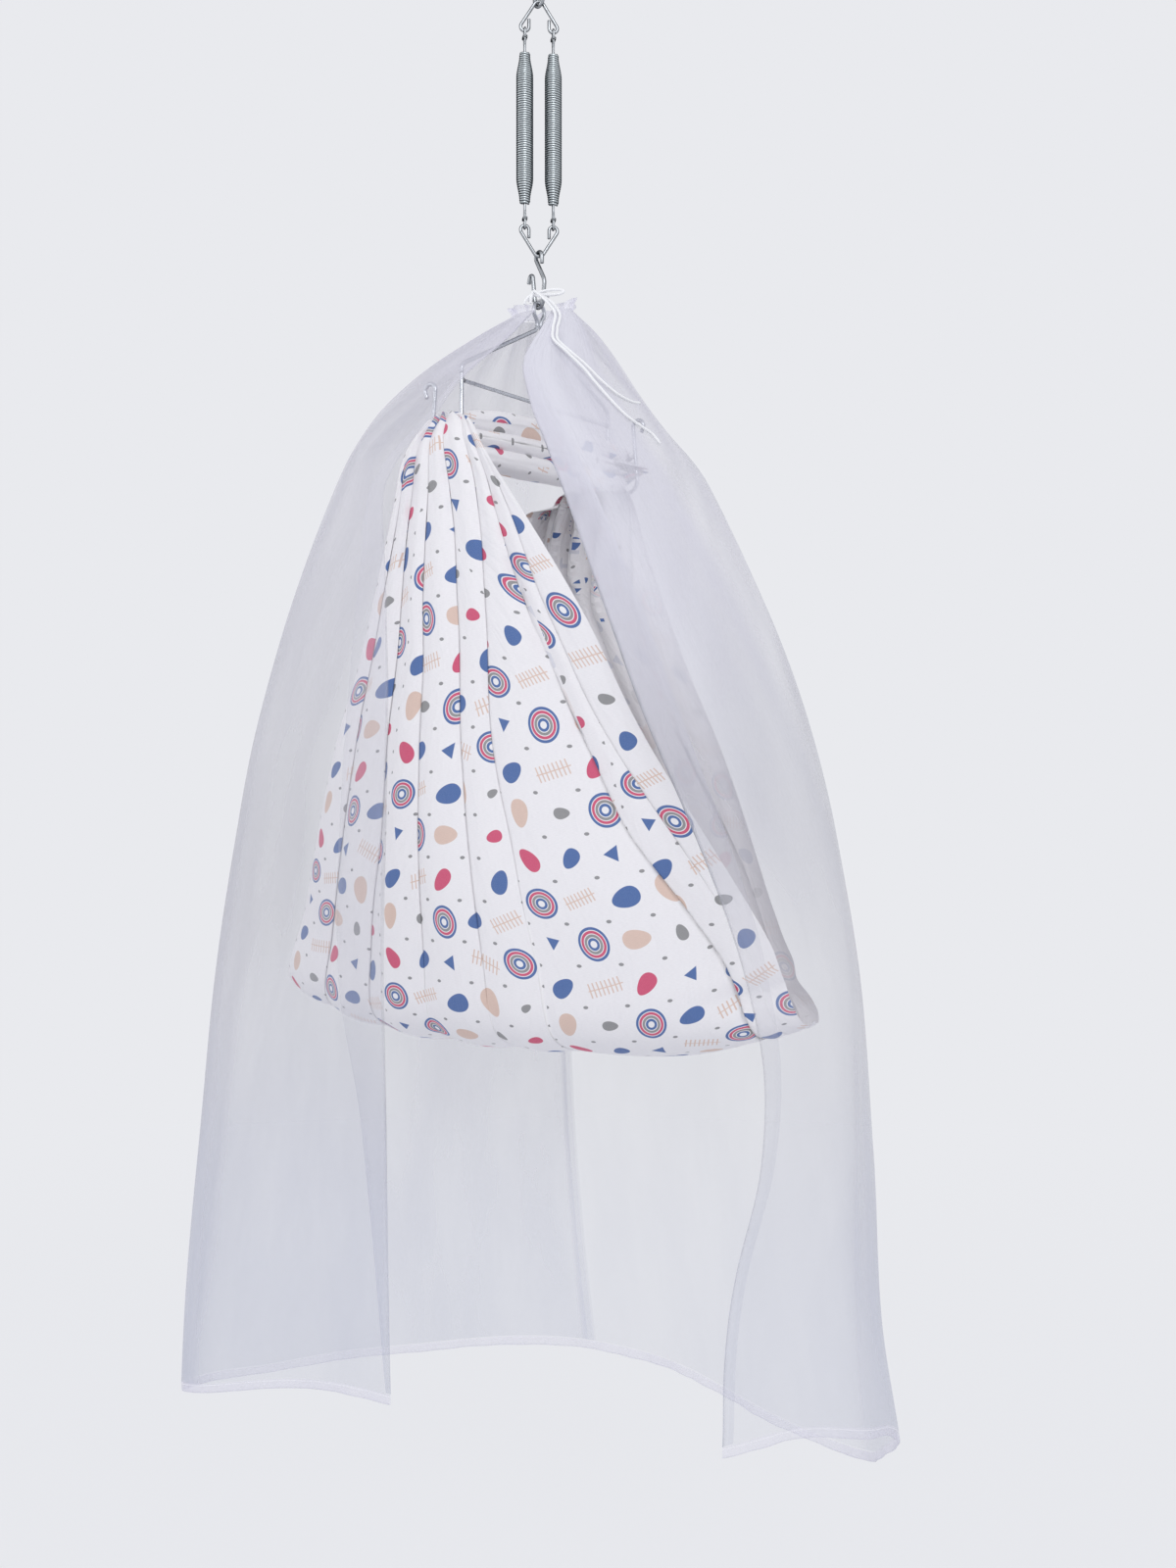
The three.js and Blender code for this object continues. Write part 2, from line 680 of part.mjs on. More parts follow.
// Net: level by level, how far it hangs below the top of the ring and how far it reaches each way, as shares.
const netLevelShares = {
  shares: [0, 0.025, 0.075, 0.11, 0.155, 0.265, 0.375, 0.475, 0.61, 0.765, 0.9, 1],
  left: [0.06, 0.13, 0.24, 0.33, 0.39, 0.53, 0.64, 0.71, 0.79, 0.87, 0.95, 1],
  right: [0.105, 0.165, 0.25, 0.31, 0.4, 0.56, 0.7, 0.8, 0.89, 0.93, 0.95, 1],
  front: [0.12, 0.36, 0.808, 0.97, 1.06, 1.06, 1.03, 1, 0.98, 0.97, 0.98, 1],
  back: [0.12, 0.36, 0.816, 0.98, 1.07, 1.07, 1.03, 1, 0.98, 0.97, 0.98, 1],
  square: [2, 2, 2, 2.3, 2.6, 3, 3.2, 3.3, 3.3, 3, 2.6, 2.3],
};

// The hem's height above its mean, by direction: it is longest on the left and shortest on the right.
const hemTurnShares = [0, 0.125, 0.265, 0.375, 0.5, 0.625, 0.73, 0.83, 0.92, 1];
const hemRiseShares = [0.03, -0.044, -0.014, -0.065, -0.084, -0.036, 0.018, 0.012, 0.04, 0.03];

const backSeam = 95; // degrees, anticlockwise from +X as seen from above
const leftSlitShares = [0, 0.075, 0.155, 0.375, 0.765, 1];
const leftSlitTurns = [292, 273, 262, 262, 261, 261];
const rightSlitShares = [0, 0.075, 0.155, 0.3, 0.475, 0.61, 0.765, 1];
const rightSlitTurns = [-58, -62, -57, -50, -44, -36, -30, -43];

function netPoint(turn, share, inset) {
  const whole = ((turn % 360) + 360) % 360;
  const level = (name) => valueAt(netLevelShares.shares, netLevelShares[name], share);
  const cosine = Math.cos(radians(turn));
  const sine = Math.sin(radians(turn));
  const reachX = cosine < 0 ? level("left") * netLeftReach : level("right") * netRightReach;
  const reachY = sine < 0 ? level("front") * netFrontReach : level("back") * netBackReach;
  const power = 2 / level("square");
  const place = new THREE.Vector3();
  place.x = reachX * Math.sign(cosine) * Math.abs(cosine) ** power;
  place.y = reachY * Math.sign(sine) * Math.abs(sine) ** power;
  const rise = valueAt(hemTurnShares, hemRiseShares, whole / 360) * netDrop * share ** 3;
  place.z = rise - THREE.MathUtils.lerp(netNeckDrop, netDrop, share);
  const away = new THREE.Vector3(cosine / reachX, sine / reachY, 0).normalize();
  const folding = THREE.MathUtils.smoothstep(share, netFoldFromShare, 1);
  const fold = netFoldDepth * folding * Math.cos(radians(turn) * netFolds);
  return place.addScaledVector(away, fold - inset);
}

// One row of a panel, from the back seam, which it stops short of, to the edge of the front opening.
function netRow(columns, edgeTurn, share, inset) {
  const row = [];
  for (let column = 0; column <= columns; column += 1) {
    row.push(netPoint(THREE.MathUtils.lerp(backSeam, edgeTurn, column / columns), share, inset));
  }
  row[0].x += (Math.sign(backSeam - edgeTurn) * seamGap) / 2;
  return row;
}

function netPanelGeometry(columns, slitShares, slitTurns) {
  const edgeAt = (share) => valueAt(slitShares, slitTurns, share);
  const grid = (inset) => netLevelShares.shares.map((share) => netRow(columns, edgeAt(share), share, inset));
  return panelBetween(grid(0), grid(netThickness), slitTurns[0]);
}

// The left panel runs anticlockwise from the seam as seen from above, and the right one clockwise.
function panelBetween(outer, inner, edgeTurn) {
  return edgeTurn > backSeam ? solidBetween(outer, inner) : solidBetween(inner, outer);
}

// The hem: a folded band just below the panel's edge.
function hemGeometry(columns, edgeTurn) {
  const grid = (inset) =>
    [hemGap, hemGap + hemHeight].map((drop) => {
      const row = netRow(columns, edgeTurn, 1, inset);
      row.forEach((point) => (point.z -= drop));
      return row;
    });
  const swell = (hemThickness - netThickness) / 2;
  return panelBetween(grid(-swell), grid(netThickness + swell), edgeTurn);
}

// The casing: a ruffled band round the neck, through which the drawcord runs.
function casingGeometry() {
  const corners = 27;
  const ring = (inset, drop) =>
    Array.from({ length: corners }, (_, corner) => {
      const turn = (360 * corner) / corners;
      const ruffle = casingRuffle * Math.cos(radians(turn) * casingRuffles);
      const point = netPoint(turn, 0, inset - ruffle);
      point.z += drop;
      return point;
    });
  const lower = casingGap;
  const upper = casingGap + casingHeight;
  const outside = [ring(0, lower), ring(0, upper)];
  const inside = [ring(casingThickness, upper), ring(casingThickness, lower)];
  return closedBand([...outside, ...inside]);
}

// A closed band through four rings of points: outer lower, outer upper, inner upper and inner lower.
function closedBand(rings) {
  const corners = rings[0].length;
  const positions = [];
  for (const point of rings.flat()) positions.push(point.x, point.y, point.z);
  const faces = [];
  for (let ring = 0; ring < rings.length; ring += 1) {
    for (let corner = 0; corner < corners; corner += 1) {
      const here = ring * corners + corner;
      const next = ring * corners + ((corner + 1) % corners);
      const above = ((ring + 1) % rings.length) * corners + corner;
      const aboveNext = ((ring + 1) % rings.length) * corners + ((corner + 1) % corners);
      faces.push(here, next, aboveNext, here, aboveNext, above);
    }
  }
  const geometry = new THREE.BufferGeometry();
  geometry.setAttribute("position", new THREE.Float32BufferAttribute(positions, 3));
  geometry.setIndex(faces);
  geometry.computeVertexNormals();
  return geometry;
}

function netGroup() {
  const group = new THREE.Group();
  const left = netPanelGeometry(19, leftSlitShares, leftSlitTurns);
  const right = netPanelGeometry(17, rightSlitShares, rightSlitTurns);
  group.add(namedMesh("net_left_panel", left, netting), namedMesh("net_right_panel", right, netting));
  const leftHem = hemGeometry(19, leftSlitTurns[leftSlitTurns.length - 1]);
  const rightHem = hemGeometry(17, rightSlitTurns[rightSlitTurns.length - 1]);
  group.add(namedMesh("net_left_hem", leftHem, netting), namedMesh("net_right_hem", rightHem, netting));
  group.add(namedMesh("net_neck_casing", casingGeometry(), netting));
  return group;
}

// A closed tube along a loop of points that lies flat, with the loop's outward directions given.
function loopGeometry(halfLength, halfWidth, diameter) {
  const stations = 24;
  const sections = [];
  for (let side = 0; side < cordSides; side += 1) {
    const around = (side / cordSides) * Math.PI * 2;
    const section = [];
    for (let station = 0; station < stations; station += 1) {
      const turn = (station / stations) * Math.PI * 2;
      const point = new THREE.Vector3(halfLength * Math.cos(turn), halfWidth * Math.sin(turn), 0);
      const away = new THREE.Vector3(Math.cos(turn) / halfLength, Math.sin(turn) / halfWidth, 0).normalize();
      point.addScaledVector(away, (diameter / 2) * Math.cos(around));
      point.z += (diameter / 2) * Math.sin(around);
      section.push(point);
    }
    sections.push(section);
  }
  return closedBand(sections);
}

function knotGeometry() {
  const steps = 12;
  const profile = [];
  for (let step = 0; step <= steps; step += 1) {
    const turn = Math.PI * (step / steps);
    const wrapped = 1 - knotCreaseShare * Math.sin(knotWraps * turn) ** 2;
    const radius = Math.max((knotHeight / 2) * Math.sin(turn) * wrapped, 0);
    profile.push(new THREE.Vector2(radius, (-knotWidth / 2) * Math.cos(turn)));
  }
  return new THREE.LatheGeometry(profile, 12).rotateZ(Math.PI / 2);
}

function cordMesh(name, route) {
  const points = route.map(([x, y, z]) => new THREE.Vector3(x, y, z));
  return namedMesh(name, wireGeometry(points, cordDiameter, cordSides), cordWhite);
}

// A free tail, smooth through its route.
function tailMesh(name, route) {
  const curve = new THREE.CatmullRomCurve3(route.map(([x, y, z]) => new THREE.Vector3(x, y, z)));
  const length = curve.getLength();
  console.log(`${name}: ${length.toFixed(0)} mm`);
  const geometry = new THREE.ExtrudeGeometry(roundSection(cordDiameter, cordSides), {
    steps: Math.round(length / cordStep),
    bevelEnabled: false,
    extrudePath: curve,
  });
  return namedMesh(name, geometry, cordWhite);
}

// The tie goes round both limbs of the lower hook, and its knot and bow lie in front of it.
function tieGroup() {
  const group = new THREE.Group();
  const opened = tieHeight * Math.tan(radians(hookLimbTaper));
  const halfWidth = (hookWire + cordDiameter) / 2 + tieClearance;
  const halfLength = hookLowerRadius + opened + halfWidth;
  const tie = namedMesh("drawcord_tie", loopGeometry(halfLength, halfWidth, cordDiameter), cordWhite);
  const side = radians(knotSide);
  const away = new THREE.Vector3(Math.cos(side) / halfLength, Math.sin(side) / halfWidth, 0).normalize();
  const knot = namedMesh("drawcord_knot", knotGeometry(), cordWhite);
  knot.position.set(halfLength * Math.cos(side), halfWidth * Math.sin(side), 0);
  knot.position.addScaledVector(away, (cordDiameter + knotWidth) / 2 + seatGap);
  const bow = namedMesh("drawcord_bow", bowGeometry(), cordWhite);
  bow.position.copy(knot.position);
  bow.rotation.order = "ZYX";
  bow.rotation.set(0, radians(bowDroop), radians(bowTurn));
  group.add(tie, knot, bow);
  group.rotation.z = radians(hookYaw);
  group.position.z = hookLowerRadius + tieHeight - hookToRing;
  return group;
}

function bowGeometry() {
  const geometry = loopGeometry((bowLength - cordDiameter) / 2, (bowWidth - cordDiameter) / 2, cordDiameter);
  return geometry.rotateX(Math.PI / 2).translate((knotHeight + bowLength) / 2 + seatGap, 0, 0);
}

function drawcordGroup() {
  const group = new THREE.Group();
  const leftLead = cordMesh("drawcord_left_lead", leftLeadRoute);
  const rightLead = cordMesh("drawcord_right_lead", rightLeadRoute);
  group.add(tieGroup(), leftLead, rightLead);
  group.add(tailMesh("drawcord_upper_tail", upperTailRoute), tailMesh("drawcord_lower_tail", lowerTailRoute));
  return group;
}

const cradle = new THREE.Group();
cradle.add(frameGroup(), slingGroup(), netGroup(), drawcordGroup());

// The chain of wires, from the ceiling hook down: each piece hangs on the one above it.
const hookToLink = (hookWire + linkWire) / 2 + crossingGap;
const linkLength = linkEyeHeight + linkEyeRadius;
const topHookHeight = hookWire / 2;
const upperApex = topHookHeight - hookDrop + hookToLink;
const upperEye = upperApex - linkLength;
const lowerEye = upperEye - 2 * loopReach - springBodyLength;
const lowerApex = lowerEye - linkLength;
const lowerHookHeight = lowerApex + hookToLink;
const ringTop = lowerHookHeight - hookDrop + hookToRing;
console.log(`upper eye ${upperEye.toFixed(2)}, lower eye ${lowerEye.toFixed(2)}`);
console.log(`ring top ${ringTop.toFixed(2)}`);

function hookMesh(name, height) {
  const hook = namedMesh(name, hookGeometry(), galvanised);
  hook.rotation.z = radians(hookYaw);
  hook.position.z = height;
  return hook;
}

function linkMesh(name, apexHeight, upsideDown) {
  const link = namedMesh(name, linkGeometry(), galvanised);
  link.rotation.order = "ZYX";
  link.rotation.z = radians(linkYaw);
  link.rotation.x = upsideDown ? Math.PI : 0;
  link.position.z = apexHeight;
  return link;
}

function springPair() {
  const pair = new THREE.Group();
  const left = springAssembly("left");
  const right = springAssembly("right");
  left.position.x = -linkEyeSpread;
  right.position.x = linkEyeSpread;
  pair.add(left, right);
  pair.rotation.z = radians(linkYaw);
  pair.position.z = upperEye;
  return pair;
}

cradle.position.z = ringTop;

const model = new THREE.Group();
model.add(hookMesh("top_hook", topHookHeight), linkMesh("upper_link", upperApex, true), springPair());
model.add(linkMesh("lower_link", lowerApex, false), hookMesh("lower_hook", lowerHookHeight), cradle);

export default model;
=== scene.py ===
"""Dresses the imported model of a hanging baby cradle: smooth bent wires, close-wound springs, a printed cotton
sling hung from a bent-wire frame, and a sheer net that a drawcord gathers round the lower hook.

Everything is in metres in the model's own frame: +Z up, -Y to the front, the origin in the top hook's bend.
"""

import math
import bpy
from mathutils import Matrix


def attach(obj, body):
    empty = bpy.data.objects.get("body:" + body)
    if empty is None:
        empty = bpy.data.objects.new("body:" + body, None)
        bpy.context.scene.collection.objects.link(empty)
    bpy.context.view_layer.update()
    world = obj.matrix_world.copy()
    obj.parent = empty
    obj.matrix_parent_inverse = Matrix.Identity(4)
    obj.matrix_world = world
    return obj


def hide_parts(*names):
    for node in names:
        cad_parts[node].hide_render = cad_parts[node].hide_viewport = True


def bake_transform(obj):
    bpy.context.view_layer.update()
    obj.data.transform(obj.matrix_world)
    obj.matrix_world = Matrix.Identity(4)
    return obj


bl_info = {
    "name": "Hanging Baby Cradle",
    "version": (1, 0, 0),
    "blender": (4, 5, 0),
    "location": "View3D > Sidebar > Cradle",
    "description": "Builds the visual pieces of a spring cradle over its packed frame",
    "category": "Object",
}

import bmesh
import bpy
from bpy.props import FloatProperty, FloatVectorProperty, IntProperty, PointerProperty
from mathutils import Matrix, Vector, noise

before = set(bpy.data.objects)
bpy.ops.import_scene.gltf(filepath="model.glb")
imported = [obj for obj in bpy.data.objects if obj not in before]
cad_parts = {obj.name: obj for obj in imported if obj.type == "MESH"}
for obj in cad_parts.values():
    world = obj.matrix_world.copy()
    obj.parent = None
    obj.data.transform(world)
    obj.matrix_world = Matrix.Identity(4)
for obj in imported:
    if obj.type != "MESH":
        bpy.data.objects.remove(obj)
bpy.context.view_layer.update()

# Heights of the chain's pieces, each measured at the middle of its wire.
TOP_HOOK_Z = 0.0026
UPPER_APEX_Z = -0.0628
UPPER_EYE_Z = -0.1012
LOWER_EYE_Z = -0.3492
LOWER_APEX_Z = -0.3876
LOWER_HOOK_Z = -0.3822
RING_TOP_Z = -0.44745

# Directions about Z, in degrees.
LINK_YAW = 45
HOOK_YAW = -20
FRAME_YAW = 90

EYE_SPREAD = 0.0184  # from the chain's middle to each spring


# ---------------------------------------------------------------- sizes and colours that a user would change


def size_setting(name, description, default):
    return FloatProperty(name=name, description=description, default=default, unit="LENGTH")


def colour_setting(name, description, default):
    return FloatVectorProperty(name=name, description=description, default=default, subtype="COLOR")


class CradleWireSettings(bpy.types.PropertyGroup):
    """Wire gauges and metal colours."""

    hook_wire: size_setting("Hook wire", "Diameter of the S-hooks", 0.0052)
    link_wire: size_setting("Link wire", "Diameter of the V-links", 0.0042)
    loop_wire: size_setting("Loop wire", "Diameter of the swivel loops", 0.0028)
    spring_wire: size_setting("Spring wire", "Diameter of the spring wire", 0.0028)
    frame_wire: size_setting("Frame wire", "Diameter of the cradle frame", 0.005)
    crossbar_wire: size_setting("Crossbar wire", "Diameter of the crossbar", 0.0044)
    spring_turns: IntProperty(name="Spring turns", description="Turns in each spring", default=66, min=24)
    zinc: colour_setting("Zinc", "Bright zinc on hooks and links", (0.42, 0.44, 0.46))
    spring_zinc: colour_setting("Spring zinc", "Greyer zinc on the springs", (0.60, 0.65, 0.67))
    nickel: colour_setting("Nickel", "Plating of the frame", (0.60, 0.62, 0.66))


class CradleSlingSettings(bpy.types.PropertyGroup):
    """The sling's cloth and its print."""

    cloth_width: size_setting("Cloth width", "Width of the cloth loop", 0.88)
    cotton: colour_setting("Cotton", "Ground of the print", (0.855, 0.84, 0.86))
    blue: colour_setting("Blue", "Blue motifs", (0.05, 0.13, 0.36))
    crimson: colour_setting("Crimson", "Crimson motifs", (0.62, 0.065, 0.16))
    sand: colour_setting("Sand", "Sand motifs", (0.71, 0.53, 0.45))
    slate: colour_setting("Slate", "Grey motifs", (0.27, 0.27, 0.275))


class CradleNetSettings(bpy.types.PropertyGroup):
    """The mosquito net's voile."""

    voile: colour_setting("Voile", "Colour of the net", (0.66, 0.65, 0.735))
    cover: FloatProperty(
        name="Cover", description="How much one flat layer hides", default=0.2, min=0.02, max=0.9, subtype="FACTOR"
    )
    hem_height: size_setting("Hem height", "Height of the folded hem", 0.012)


class CradleCordSettings(bpy.types.PropertyGroup):
    """The drawcord."""

    diameter: size_setting("Cord diameter", "Diameter of the drawcord", 0.0036)
    white: colour_setting("Cord white", "Colour of the cord", (0.93, 0.935, 0.95))


# ---------------------------------------------------------------- materials


class Wiring:
    """Adds nodes to one node tree and links them."""

    def __init__(self, tree):
        self.tree = tree

    def add(self, kind, values=None, **settings):
        node = self.tree.nodes.new(kind)
        for name, value in settings.items():
            setattr(node, name, value)
        for name, value in (values or {}).items():
            self.set(node, name, value)
        return node

    def set(self, node, name, value):
        if isinstance(value, bpy.types.NodeSocket):
            self.tree.links.new(value, node.inputs[name])
        else:
            node.inputs[name].default_value = value

    def maths(self, operation, *values, clamp=False):
        node = self.add("ShaderNodeMath", dict(enumerate(values)), operation=operation, use_clamp=clamp)
        return node.outputs[0]

    def product(self, first, second):
        return self.maths("MULTIPLY", first, second)

    def total(self, first, second):
        return self.maths("ADD", first, second)

    def excess(self, first, second):
        return self.maths("SUBTRACT", first, second)

    def greater(self, first, second):
        return self.maths("MAXIMUM", first, second)

    def size_of(self, value):
        return self.maths("ABSOLUTE", value)

    def vectors(self, operation, *values):
        node = self.add("ShaderNodeVectorMath", dict(enumerate(values)), operation=operation)
        return node.outputs["Value" if operation in {"LENGTH", "DOT_PRODUCT"} else "Vector"]

    def parts(self, vector):
        node = self.add("ShaderNodeSeparateXYZ", {"Vector": vector})
        return node.outputs[0], node.outputs[1], node.outputs[2]

    def vector(self, x, y, z=0.0):
        return self.add("ShaderNodeCombineXYZ", {0: x, 1: y, 2: z}).outputs[0]

    def noise(self, vector, scale, detail=2.0, roughness=0.5):
        values = {"Vector": vector, "Scale": scale, "Detail": detail, "Roughness": roughness}
        return self.add("ShaderNodeTexNoise", values).outputs["Fac"]

    def range(self, value, low, high, bottom=0.0, top=1.0):
        """A smooth step from the bottom at the low value to the top at the high one."""
        node = self.add("ShaderNodeMapRange", interpolation_type="SMOOTHSTEP")
        for index, number in enumerate((value, low, high, bottom, top)):
            self.set(node, index, number)
        return node.outputs[0]

    def mix(self, factor, first, second):
        """The first colour at factor 0 and the second at 1; sockets 0, 6 and 7 are those of the RGBA mode."""
        node = self.add("ShaderNodeMix", data_type="RGBA")
        self.set(node, 0, factor)
        self.set(node, 6, opaque(first))
        self.set(node, 7, opaque(second))
        return node.outputs[2]

    def bump(self, height, distance, strength=1.0, normal=None):
        node = self.add("ShaderNodeBump", {"Height": height, "Distance": distance, "Strength": strength})
        if normal is not None:
            self.set(node, "Normal", normal)
        return node.outputs[0]

    def group(self, tree, **values):
        node = self.add("ShaderNodeGroup")
        node.node_tree = tree
        for name, value in values.items():
            self.set(node, name, value)
        return node

    def finish(self, shader, **values):
        """Sets the shader's inputs, whose names are given in lower case with underscores."""
        sockets = {socket.name.lower().replace(" ", "_"): socket.name for socket in shader.inputs}
        for name, value in values.items():
            self.set(shader, sockets[name], value)


def opaque(colour):
    """A colour of three parts with a full alpha; a socket stays as it is."""
    return colour if isinstance(colour, bpy.types.NodeSocket) else (*colour[:3], 1.0)


def times(colour, *shares):
    """A colour scaled by one share, or by one for each of its parts."""
    return tuple(part * share for part, share in zip(colour, shares * 3 if len(shares) == 1 else shares))


def new_group(name, inputs, outputs):
    """A node group with named sockets; inputs are (name, type, default)."""
    tree = bpy.data.node_groups.new(name, "ShaderNodeTree")
    for label, kind, default in inputs:
        socket = tree.interface.new_socket(label, in_out="INPUT", socket_type=kind)
        if default is not None:
            socket.default_value = default
    for label, kind in outputs:
        tree.interface.new_socket(label, in_out="OUTPUT", socket_type=kind)
    wiring = Wiring(tree)
    return tree, wiring, wiring.add("NodeGroupInput").outputs, wiring.add("NodeGroupOutput")


FLOAT, VECTOR = "NodeSocketFloat", "NodeSocketVector"


def plating_group():
    """Cloudy tarnish, fine drawing marks and small pits, over Object coordinates in metres."""
    inputs = [("Vector", VECTOR, None), ("Cloud", FLOAT, 90.0)]
    tree, w, given, out = new_group("Plating", inputs, [("Tarnish", FLOAT), ("Marks", FLOAT), ("Pits", FLOAT)])
    cloud = w.noise(given["Vector"], given["Cloud"], 4.0, 0.6)
    w.set(out, "Tarnish", w.range(cloud, 0.42, 0.68))
    w.set(out, "Marks", w.noise(given["Vector"], 900.0, 3.0, 0.65))
    w.set(out, "Pits", w.range(w.noise(given["Vector"], 420.0, 1.0), 0.66, 0.78))
    return tree


def weave_group():
    """Plain weave over UV in metres: a height for the bump and a mask of the small holes between the threads."""
    inputs = [("Vector", VECTOR, None), ("Pitch", FLOAT, 0.0009)]
    tree, w, given, out = new_group("Plain Weave", inputs, [("Height", FLOAT), ("Holes", FLOAT)])
    u, v, _ = w.parts(given["Vector"])
    turn = w.maths("DIVIDE", math.pi, given["Pitch"])
    across = w.maths("SINE", w.product(u, turn))
    along = w.maths("SINE", w.product(v, turn))
    over = w.product(across, along)
    w.set(out, "Height", w.total(w.product(over, 0.5), 0.5))
    thin = w.product(w.size_of(across), w.size_of(along))
    w.set(out, "Holes", w.range(thin, 0.55, 0.95))
    return tree


def wrinkle_group():
    """Soft creases of ironed and folded cloth, longer along V than along U."""
    tree, w, given, out = new_group("Cloth Creases", [("Vector", VECTOR, None)], [("Height", FLOAT)])
    stretched = w.vectors("MULTIPLY", given["Vector"], (1.0, 0.28, 1.0))
    broad = w.noise(stretched, 26.0, 3.0, 0.55)
    ridges = w.size_of(w.excess(w.noise(stretched, 55.0, 2.0), 0.5))
    w.set(out, "Height", w.excess(broad, w.product(ridges, 0.9)))
    return tree


def motif_place(w, given):
    """The point in a motif's own frame: moved to its centre and turned."""
    moved = w.vectors("SUBTRACT", given["Vector"], given["Centre"])
    x, y, _ = w.parts(moved)
    cosine, sine = w.maths("COSINE", given["Turn"]), w.maths("SINE", given["Turn"])
    along = w.total(w.product(x, cosine), w.product(y, sine))
    up = w.excess(w.product(y, cosine), w.product(x, sine))
    return along, up


MOTIF_INPUTS = [("Vector", VECTOR, None), ("Centre", VECTOR, None), ("Turn", FLOAT, 0.0), ("Size", FLOAT, 0.02)]
MOTIF_EDGE = (-0.0003, 0.0004)  # how softly the ink ends, in metres


def pebble_group():
    """A smooth egg-shaped blot."""
    tree, w, given, out = new_group("Pebble Motif", MOTIF_INPUTS, [("Mask", FLOAT)])
    x, y = motif_place(w, given)
    lean = w.total(1.0, w.product(w.maths("DIVIDE", x, given["Size"]), 0.22))
    squeezed = w.product(y, w.product(lean, 1.5))
    reach = w.vectors("LENGTH", w.vector(x, squeezed))
    edge = w.excess(given["Size"], reach)
    w.set(out, "Mask", w.range(edge, *MOTIF_EDGE))
    return tree


def ring_group():
    """Four rings, one in another: the outermost and innermost in the first mask, the two between in the others."""
    outputs = [("Outer", FLOAT), ("Middle", FLOAT), ("Inner", FLOAT)]
    tree, w, given, out = new_group("Ring Motif", MOTIF_INPUTS, outputs)
    x, y = motif_place(w, given)
    squeezed = w.product(y, 1.12)
    share = w.maths("DIVIDE", w.vectors("LENGTH", w.vector(x, squeezed)), given["Size"])
    half, soft = 0.065, 0.03  # of the ring's radius

    def band(middle):
        away = w.size_of(w.excess(share, middle))
        return w.range(away, half, half + soft, 1.0, 0.0)

    w.set(out, "Outer", w.greater(band(0.92), band(0.29)))
    w.set(out, "Middle", band(0.71))
    w.set(out, "Inner", band(0.5))
    return tree


def wedge_group():
    """A small three-sided blot."""
    tree, w, given, out = new_group("Wedge Motif", MOTIF_INPUTS, [("Mask", FLOAT)])
    x, y = motif_place(w, given)
    side = w.total(w.product(w.size_of(x), 0.88), w.product(y, 0.48))
    far = w.greater(side, w.product(y, -1.0))
    edge = w.excess(w.product(given["Size"], 0.55), far)
    w.set(out, "Mask", w.range(edge, *MOTIF_EDGE))
    return tree


def comb_group():
    """A short stem crossed by thin strokes."""
    tree, w, given, out = new_group("Comb Motif", MOTIF_INPUTS, [("Mask", FLOAT)])
    x, y = motif_place(w, given)
    size = given["Size"]
    half_pitch = w.product(w.product(size, 0.24), 0.5)
    place = w.maths("PINGPONG", w.total(x, w.product(size, 4.0)), half_pitch)
    stroke = w.range(place, 0.0006, 0.0011, 1.0, 0.0)
    tall = w.range(w.excess(w.product(size, 0.42), w.size_of(y)), 0.0, 0.0005)
    stem = w.range(w.size_of(y), 0.0004, 0.0009, 1.0, 0.0)
    long = w.range(w.excess(size, w.size_of(x)), 0.0, 0.0005)
    inside = w.product(w.greater(w.product(stroke, tall), stem), long)
    w.set(out, "Mask", inside)
    return tree


TILE = 0.26  # the print's repeat, which drops by half from one column to the next
CELL = TILE / 5

# Each row of the repeat, by cell: R rings, B blue, S sand, C crimson and G grey pebbles, W wedge, T stroked stem.
TILE_ROWS = ("RTBSG", "CBWTR", "SGRBT", "BTCWB", "WRSGC")
MOTIF_SIZES = {"R": 0.021, "B": 0.0165, "S": 0.016, "C": 0.013, "G": 0.0085, "W": 0.011, "T": 0.0215}
MOTIF_INKS = {"B": "Blue", "S": "Sand", "C": "Crimson", "G": "Slate", "W": "Blue", "T": "Sand"}
RING_INKS = {"Outer": "Blue", "Middle": "Crimson", "Inner": "Slate"}
MOTIF_SHIFT = 0.005  # the most that a motif stands off its cell's middle
MOTIF_SEED = 1  # without one, Blender seeds noise_vector from the clock
DOT_RADII = (0.0028, 0.0034)  # of the dots between the cells, where the ink begins and ends to fade
PRINT_THREAD = 0.00085  # the pitch of the weave that shows through the ink


def motif_at(row, cell, letter):
    """A motif's centre, turn and size in its cell of the repeat."""
    shift = noise.noise_vector(Vector((row * 3.1, cell * 2.7, 0.4))) * MOTIF_SHIFT
    centre = ((cell + 0.5) * CELL + shift.x, (row + 0.5) * CELL + shift.y, 0.0)
    turn = 0.35 * math.sin(row * 2.0 + cell) if letter == "T" else (row * 2.3 + cell * 1.7) % (2 * math.pi)
    grown = 1.0 if letter == "R" else 0.82 + 0.36 * ((row * 3 + cell * 5) % 4) / 3
    return {"Centre": centre, "Turn": turn, "Size": MOTIF_SIZES[letter] * grown}


